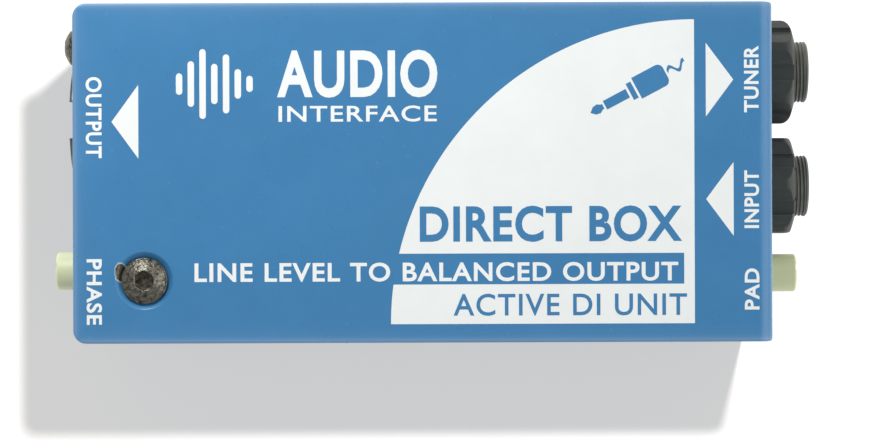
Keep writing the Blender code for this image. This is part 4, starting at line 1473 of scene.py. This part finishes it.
# ------------------------------------------------------------------------------------------------
# Screws and the microphone connector
# ------------------------------------------------------------------------------------------------

@dataclass
class ButtonScrew:
    """Dome-headed screw with a hexagon socket."""

    palette: Palette
    node: str
    facing: Facing
    head: float
    tall: float
    shank: float
    key: float
    swell: float = 1.35
    rim: float = 0.28 * MM
    rim_up: float = 0.62 * MM
    mouth_deep: float = 0.60 * MM

    def dress(self) -> None:
        """Build the screw and fix it to the case."""
        low, high, centre = measure(self.node)
        if self.facing is Facing.UP:
            long, place = high.z - low.z, Facing.UP.at((centre.x, centre.y, high.z))
        else:
            long, place = high.x - low.x, Facing.LEFT.at((low.x, *centre.yz))
        ball, under = self.head * self.swell, -self.tall
        dome = [(r, z) for r, z in arc((0, -ball), ball, 90, 42, 16) if r < self.head - 0.25 * MM]
        rim = arc((self.head - self.rim, under + self.rim_up), self.rim, 50, -10, 5)
        shank = [(self.head - 0.12 * MM, under), (self.shank, under), (self.shank, -long + 0.4 * MM),
                 (self.shank - 0.4 * MM, -long), (0.0, -long)]
        screw = Workpiece.lathe(self.node + "_detailed", dome + rim + shank, place, 84)
        deep = self.tall * 0.95
        socket = Workpiece.prism("key", 6, self.key / 2 / math.cos(math.pi / 6), deep + MM, 0.0,
                                 place @ Matrix.Translation((0, 0, -deep)))
        cone = [(0.0, MM), (self.key * 0.62, MM), (self.key * 0.62, -0.24 * MM),
                (self.key * 0.46, -self.mouth_deep), (0.0, -self.mouth_deep)]
        screw.cut(socket, Workpiece.lathe("mouth", cone, place, 48))
        screw.soften(0.06 * MM, 2, 40.0).polish(32.0)
        screw.deliver(self.palette.oxide, Body.CASE, "black_oxide", [self.node])


@dataclass
class MicConnector:
    """Three-pin male connector: housing with its flange and latch slot, insert, pins and wires."""

    palette: Palette
    radius: float = 9.5 * MM
    bore: float = 8.15 * MM
    out: float = 2.18 * MM
    wall: float = 2.2 * MM
    flange_thick: float = 2.5 * MM
    latch: float = 5.5 * MM
    pin: float = 1.2 * MM
    soft: float = 0.45 * MM

    def housing(self) -> Workpiece:
        """Turn the tube, join the flange and cut the latch's slot and the screw holes."""
        low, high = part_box("xlr_housing")
        mouth, long = Vector((low.x, *middle("xlr_insert").yz)), high.x - low.x
        place = Facing.RIGHT.at(mouth)
        outer = arc((self.radius - self.soft, self.soft), self.soft, -86, 0, 8)
        profile = outer + [(self.radius, long), (self.bore, long), (self.bore, 0.35 * MM),
                           (self.bore + 0.30 * MM, 0.0)]
        shell = Workpiece.lathe("connector_housing", profile, place, 120, ring=True)
        front = mouth.x + self.out + self.wall
        flange = Workpiece.block("flange", (front, low.y, low.z),
                                 (front + self.flange_thick, high.y, high.z), 0.6 * MM, 4)
        flange.cut(Workpiece.drill("flange_bore", self.bore, place, 40 * MM, 96))
        shell.join(flange)
        slot = Workpiece.block("latch_slot", (mouth.x - MM, mouth.y - self.latch / 2, mouth.z + 6 * MM),
                               (mouth.x + self.out - 0.3 * MM, mouth.y + self.latch / 2,
                                mouth.z + 11 * MM))
        holes = [Workpiece.drill("screw_hole", 1.7 * MM, Facing.RIGHT.at((front, *middle(node).yz)),
                                 8 * MM, 96) for node in ("xlr_screw_upper", "xlr_screw_lower")]
        return shell.cut(slot, *holes).soften(0.18 * MM, 2, 50.0).polish(30.0)

    def insert(self) -> Workpiece:
        """The insulating disc, with a raised rim and a clear hole round each pin."""
        low, high, centre = measure("xlr_insert")
        place = Facing.LEFT.at((high.x, *centre.yz))
        radius, long = (high.y - low.y) / 2, high.x - low.x
        profile = [(0.0, long - 0.3 * MM), (radius - 1.5 * MM, long - 0.3 * MM), (radius - 1.2 * MM, long),
                   (radius - 0.3 * MM, long), (radius, long - 0.3 * MM), (radius, 0.0), (0.0, 0.0)]
        disc = Workpiece.lathe("connector_insert", profile, place, 96)
        holes = [Workpiece.drill("pin_hole", self.pin + 0.3 * MM,
                                 Facing.RIGHT.at((centre.x, *middle(f"xlr_pin_{number}").yz)),
                                 8 * MM, 96) for number in (1, 2, 3)]
        return disc.cut(*holes).soften(0.12 * MM, 2, 50.0).polish(30.0)

    def contact(self, number: int) -> Workpiece:
        """One round-nosed pin with a shallow waist behind its nose.

        Args:
            number: The pin's number.

        Returns:
            The pin.
        """
        low, high, centre = measure(f"xlr_pin_{number}")
        place = Facing.LEFT.at((high.x, *centre.yz))
        long = high.x - low.x
        nose = arc((0.0, long - self.pin), self.pin, 90, 0, 12)
        profile = nose + [(self.pin, long * 0.45), (self.pin - 0.08 * MM, long * 0.44),
                          (self.pin - 0.08 * MM, long * 0.40), (self.pin, long * 0.39),
                          (self.pin, 0.2 * MM), (self.pin - 0.2 * MM, 0.0), (0.0, 0.0)]
        return Workpiece.lathe(f"connector_pin_{number}", profile, place, 40).polish(30.0, False)

    def dress(self, frame: dict) -> None:
        """Build the connector, fix it to the case and dress its wires.

        Args:
            frame: The loaded frame.
        """
        self.housing().deliver(self.palette.casting, Body.CASE, "connector_black", ["xlr_housing"])
        self.insert().deliver(self.palette.nylon, Body.CASE, "black_plastic", ["xlr_insert"])
        for number in (1, 2, 3):
            self.contact(number).deliver(self.palette.silver, Body.CASE, "contact_silver",
                                         [f"xlr_pin_{number}"])
        wires = (self.palette.white_wire, self.palette.red_wire, self.palette.black_wire)
        for number, finish in enumerate(wires, start=1):
            carry(frame, finish, f"xlr_wire_{number}")


# ------------------------------------------------------------------------------------------------
# Circuit board
# ------------------------------------------------------------------------------------------------

@dataclass
class CircuitBoard:
    """The board with its components, standoffs and screws, all in the frame's own shapes."""

    palette: Palette

    def dress(self, frame: dict) -> None:
        """Dress every node of the board.

        Args:
            frame: The loaded frame.
        """
        finishes = {"circuit_board": self.palette.board, "amplifier_chip": self.palette.epoxy,
                    "transistor_": self.palette.epoxy, "resistor_": self.palette.lacquer,
                    "electrolytic_cap_": self.palette.sleeve, "film_cap_": self.palette.film,
                    "board_standoff_": self.palette.zinc, "board_screw_": self.palette.zinc,
                    "cover_clinch_nut": self.palette.zinc}
        for prefix, finish in finishes.items():
            carry(frame, finish, *sorted(n for n in frame["nodes"] if n.startswith(prefix)))


# ------------------------------------------------------------------------------------------------
# Studio
# ------------------------------------------------------------------------------------------------

@dataclass
class Studio:
    """Pale floor, soft lights and the camera straight above the case."""

    centre: Point2 = (3.563 * MM, -7.095 * MM)
    camera_height: float = 484 * MM
    lens: float = 118.87
    roll: float = -0.20
    card_half: float = 3.0
    card_drop: float = 0.05 * MM
    shadow_aside: Point2 = (85 * MM, 152 * MM)
    shadow_size: float = 22 * MM
    shadow_power: float = 4.6
    softbox_place: Point3 = (-90 * MM, 170 * MM, 200 * MM)
    softbox_size: float = 90 * MM
    softbox_power: float = 0.385
    side_place: Point3 = (1.05, 0.10, 0.62)
    side_size: float = 1.2
    side_power: float = 7.4
    zenith: float = 0.31
    horizon: float = 0.70
    card_glow: float = 0.50

    def floor(self) -> bpy.types.Object:
        """Lay a wide sheet of pale, faintly backlit card just under the box."""
        bm = bmesh.new()
        wide = Matrix.Diagonal((self.card_half, self.card_half, 1.0, 1.0))
        size = Matrix.Translation((0, 0, -self.card_drop)) @ wide
        bmesh.ops.create_grid(bm, x_segments=8, y_segments=8, size=1.0, matrix=size)
        card = Workpiece("floor_card", bm, outward=False)
        paper = Finish("pale_card", (0.31, 0.30, 0.285), 0.7, shift=0.005, edge=0.0,
                       peel_scale=300.0, peel_height=0.002 * MM)
        material = paper.material()
        shader = material.node_tree.nodes["Principled BSDF"]
        shader.inputs["Emission Color"].default_value = (1.0, 1.0, 1.0, 1.0)
        shader.inputs["Emission Strength"].default_value = self.card_glow
        card.obj.data.materials.append(material)
        return card.obj

    @staticmethod
    def group(name: str, objects: Iterable[bpy.types.Object], state: str) -> bpy.types.Collection:
        """Gather objects that a lamp is to include or exclude.

        Args:
            name: The collection's name.
            objects: The objects.
            state: INCLUDE or EXCLUDE.

        Returns:
            The collection.
        """
        made = bpy.data.collections.new(name)
        for obj in objects:
            made.objects.link(obj)
        for entry in made.collection_objects:
            entry.light_linking.link_state = state
        return made

    def lamp(self, name: str, place: Sequence[float], size: float, power: float,
             lit: Iterable[bpy.types.Object], reach: str) -> None:
        """Hang a square area lamp that faces the box.

        Args:
            name: The lamp's name.
            place: Where it hangs.
            size: Length of its side.
            power: Its power in watts.
            lit: The objects that it lights, or those that it leaves dark.
            reach: INCLUDE if it lights those objects alone, or EXCLUDE if it lights all others.
        """
        data = bpy.data.lights.new(name, 'AREA')
        data.shape, data.size, data.energy = 'SQUARE', size, power
        obj = bpy.data.objects.new(name, data)
        obj.location = place
        obj.rotation_mode = 'QUATERNION'
        obj.rotation_quaternion = (-Vector(place)).to_track_quat('-Z', 'Y')
        bpy.context.scene.collection.objects.link(obj)
        obj.light_linking.receiver_collection = self.group(name + "_reach", lit, reach)
        obj.light_linking.blocker_collection = self.group(name + "_shade", self.small_parts(), 'EXCLUDE')

    @staticmethod
    def small_parts() -> Iterable[bpy.types.Object]:
        """The fittings beside the input plate, which are kept from casting shadows there."""
        return [bpy.data.objects[name] for name in
                ("tuner_nut", "input_nut", "tuner_bush", "input_bush", "pad_cap")]

    def world(self) -> None:
        """A pale sky, brighter at the horizon than above."""
        made = bpy.data.worlds.new("studio_sky")
        made.use_nodes = True
        wire = Wiring(made.node_tree)
        height = wire.node("SeparateXYZ", Vector=wire.node("TexCoord").outputs["Generated"])
        light = wire.remap(height.outputs["Z"], 0.0, 1.0, self.horizon, self.zenith)
        wire.feed(made.node_tree.nodes["Background"].inputs["Color"], light)
        bpy.context.scene.world = made

    def camera(self) -> None:
        """Hang the camera above the case, looking straight down."""
        data = bpy.data.cameras.new("overhead")
        data.lens, data.sensor_width = self.lens, 36.0
        data.clip_start, data.clip_end = 0.01, 20.0
        obj = bpy.data.objects.new("overhead", data)
        obj.location = (*self.centre, self.camera_height)
        obj.rotation_euler = (0.0, 0.0, math.radians(self.roll))
        bpy.context.scene.collection.objects.link(obj)
        bpy.context.scene.camera = obj

    def build(self) -> None:
        """Set up the floor, the lights, the sky and the camera."""
        card = self.floor()
        nuts = [bpy.data.objects[f"{jack}_nut"] for jack in ("tuner", "input")]
        above = (self.centre[0] + self.shadow_aside[0], self.centre[1] + self.shadow_aside[1],
                 self.camera_height)
        self.world()
        self.lamp("shadow_lamp", above, self.shadow_size, self.shadow_power, [card], 'INCLUDE')
        self.lamp("softbox", self.softbox_place, self.softbox_size, self.softbox_power,
                  [card, *nuts], 'EXCLUDE')
        self.lamp("side_card", self.side_place, self.side_size, self.side_power, [card], 'EXCLUDE')
        self.camera()
        bpy.context.scene.view_settings.view_transform = 'Standard'


def main() -> None:
    """Load the frame, build and dress every sub-assembly, and set up the studio."""
    logging.basicConfig(level=logging.INFO, format="%(name)s: %(message)s")
    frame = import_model()
    low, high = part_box("cover")
    chip = (-45.15 * MM, -14.75 * MM, high.z)
    palette = Palette(enamel=Enamel("cover_enamel", ENAMEL_BLUE, 0.31, shift=0.03, edge=0.20,
                                    edge_colour=RUBBED_BLUE, chip=chip, sides=(low.x, high.y)))
    CoverShell(palette).dress()
    ChassisTray(palette).dress()
    FloorPad(palette).dress()
    Print(palette).dress()
    for jack, turn in (("tuner", 3.0), ("input", 28.0)):
        PanelNut(palette, jack, turn).dress()
        Bush(palette, jack).dress(frame)
    PushButton(palette, "pad", Body.PAD_KEY, Facing.RIGHT, palette.green_ivory).dress(frame)
    PushButton(palette, "phase", Body.PHASE_KEY, Facing.LEFT, palette.ivory).dress(frame)
    ButtonScrew(palette, "cover_screw", Facing.UP, 3.45 * MM, 2.0 * MM, 1.8 * MM, 2.5 * MM).dress()
    for side in ("upper", "lower"):
        ButtonScrew(palette, f"xlr_screw_{side}", Facing.LEFT, 2.85 * MM, 2.45 * MM, 1.4 * MM,
                    2.0 * MM).dress()
    MicConnector(palette).dress(frame)
    CircuitBoard(palette).dress(frame)
    Studio().build()


if __name__ == "__main__":
    main()
